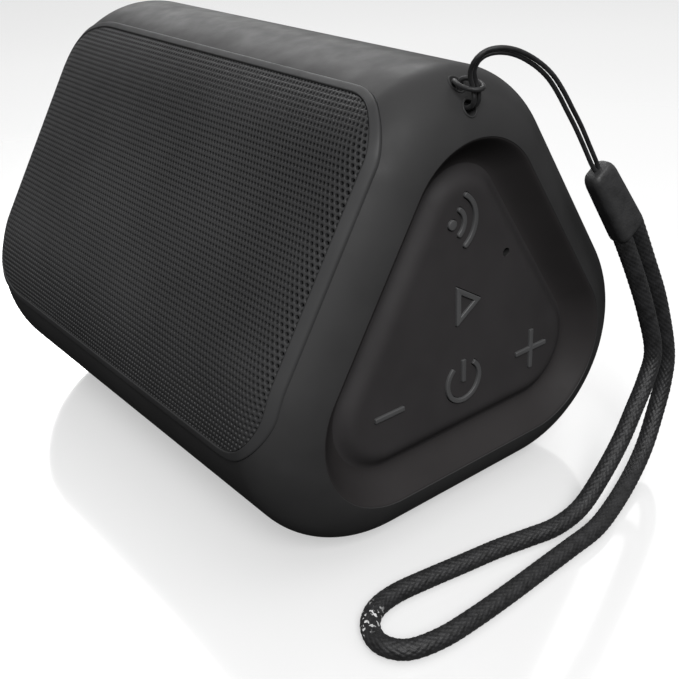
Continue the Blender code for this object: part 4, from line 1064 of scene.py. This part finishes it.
# ---------------------------------------------------------------- studio
# Name, place, the point it faces, side and watts.
LIGHTS = [
    ("key", (0.3, 0.1, 1.8), (0, 0, 0), 1.9, 19.0),
    ("end", (1.15, -0.65, 1.2), (0, 0, 0.03), 0.7, 34.0),
    ("fill", (-1.2, 0.7, 0.9), (0, 0, 0.03), 0.8, 9.0),
]
FLOOR_REACH = 2.5
FLOOR_GLOW = 0.47
SKY_LOW, SKY_HIGH = 0.03, 0.5  # strength below and above the horizon


def area_light(name, place, target, size, power):
    data = bpy.data.lights.new(name, "AREA")
    data.shape = "RECTANGLE"
    data.size = data.size_y = size
    data.energy = power
    light = add_object(name, data)
    light.location = place
    direction = Vector(target) - Vector(place)
    light.rotation_euler = direction.to_track_quat("-Z", "Y").to_euler()


def make_floor():
    """White glossy floor. It throws no light up, so the underside stays dark."""
    mesh = bpy.data.meshes.new("floor")
    mesh.from_pydata([(x * FLOOR_REACH, y * FLOOR_REACH, 0)
                      for x, y in ((-1, -1), (1, -1), (1, 1), (-1, 1))], [], [(0, 1, 2, 3)])
    paint = Maker("white_floor", (0.55, 0.55, 0.55), 0.12, metallic=0.4, specular=0.5, coat=1.0)
    paint.vary(3, 0.01)
    paint.settle(paint.shader, {"Emission Color": (1, 1, 1, 1), "Emission Strength": FLOOR_GLOW})
    mesh.materials.append(paint.material)
    ground = add_object("floor", mesh)
    ground.visible_diffuse = False
    ground.visible_glossy = False


def make_studio():
    """Floor, a sky that is dim below the horizon, and three soft lights."""
    make_floor()
    world = bpy.data.worlds.new("studio")
    bpy.context.scene.world = world
    world.use_nodes = True
    tree = world.node_tree
    place = tree.nodes.new("ShaderNodeTexCoord")
    split = tree.nodes.new("ShaderNodeSeparateXYZ")
    tree.links.new(place.outputs["Generated"], split.inputs["Vector"])
    sky = tree.nodes.new("ShaderNodeMapRange")
    Maker.settle(sky, {"From Min": -0.02, "From Max": 0.06, "To Min": SKY_LOW,
                       "To Max": SKY_HIGH})
    tree.links.new(split.outputs["Z"], sky.inputs["Value"])
    tree.links.new(sky.outputs["Result"], tree.nodes["Background"].inputs["Strength"])
    tree.nodes["Background"].inputs["Color"].default_value = (1, 1, 1, 1)
    for light in LIGHTS:
        area_light(*light)
    bpy.context.scene.view_settings.view_transform = "Standard"


MATERIALS = build_materials()
make_camera()
make_strap(MATERIALS)
make_casing(MATERIALS)
make_grille(MATERIALS)
make_control_end(MATERIALS)
make_port_end(MATERIALS)
make_underside(MATERIALS)
finish_nodes(MATERIALS)
make_studio()
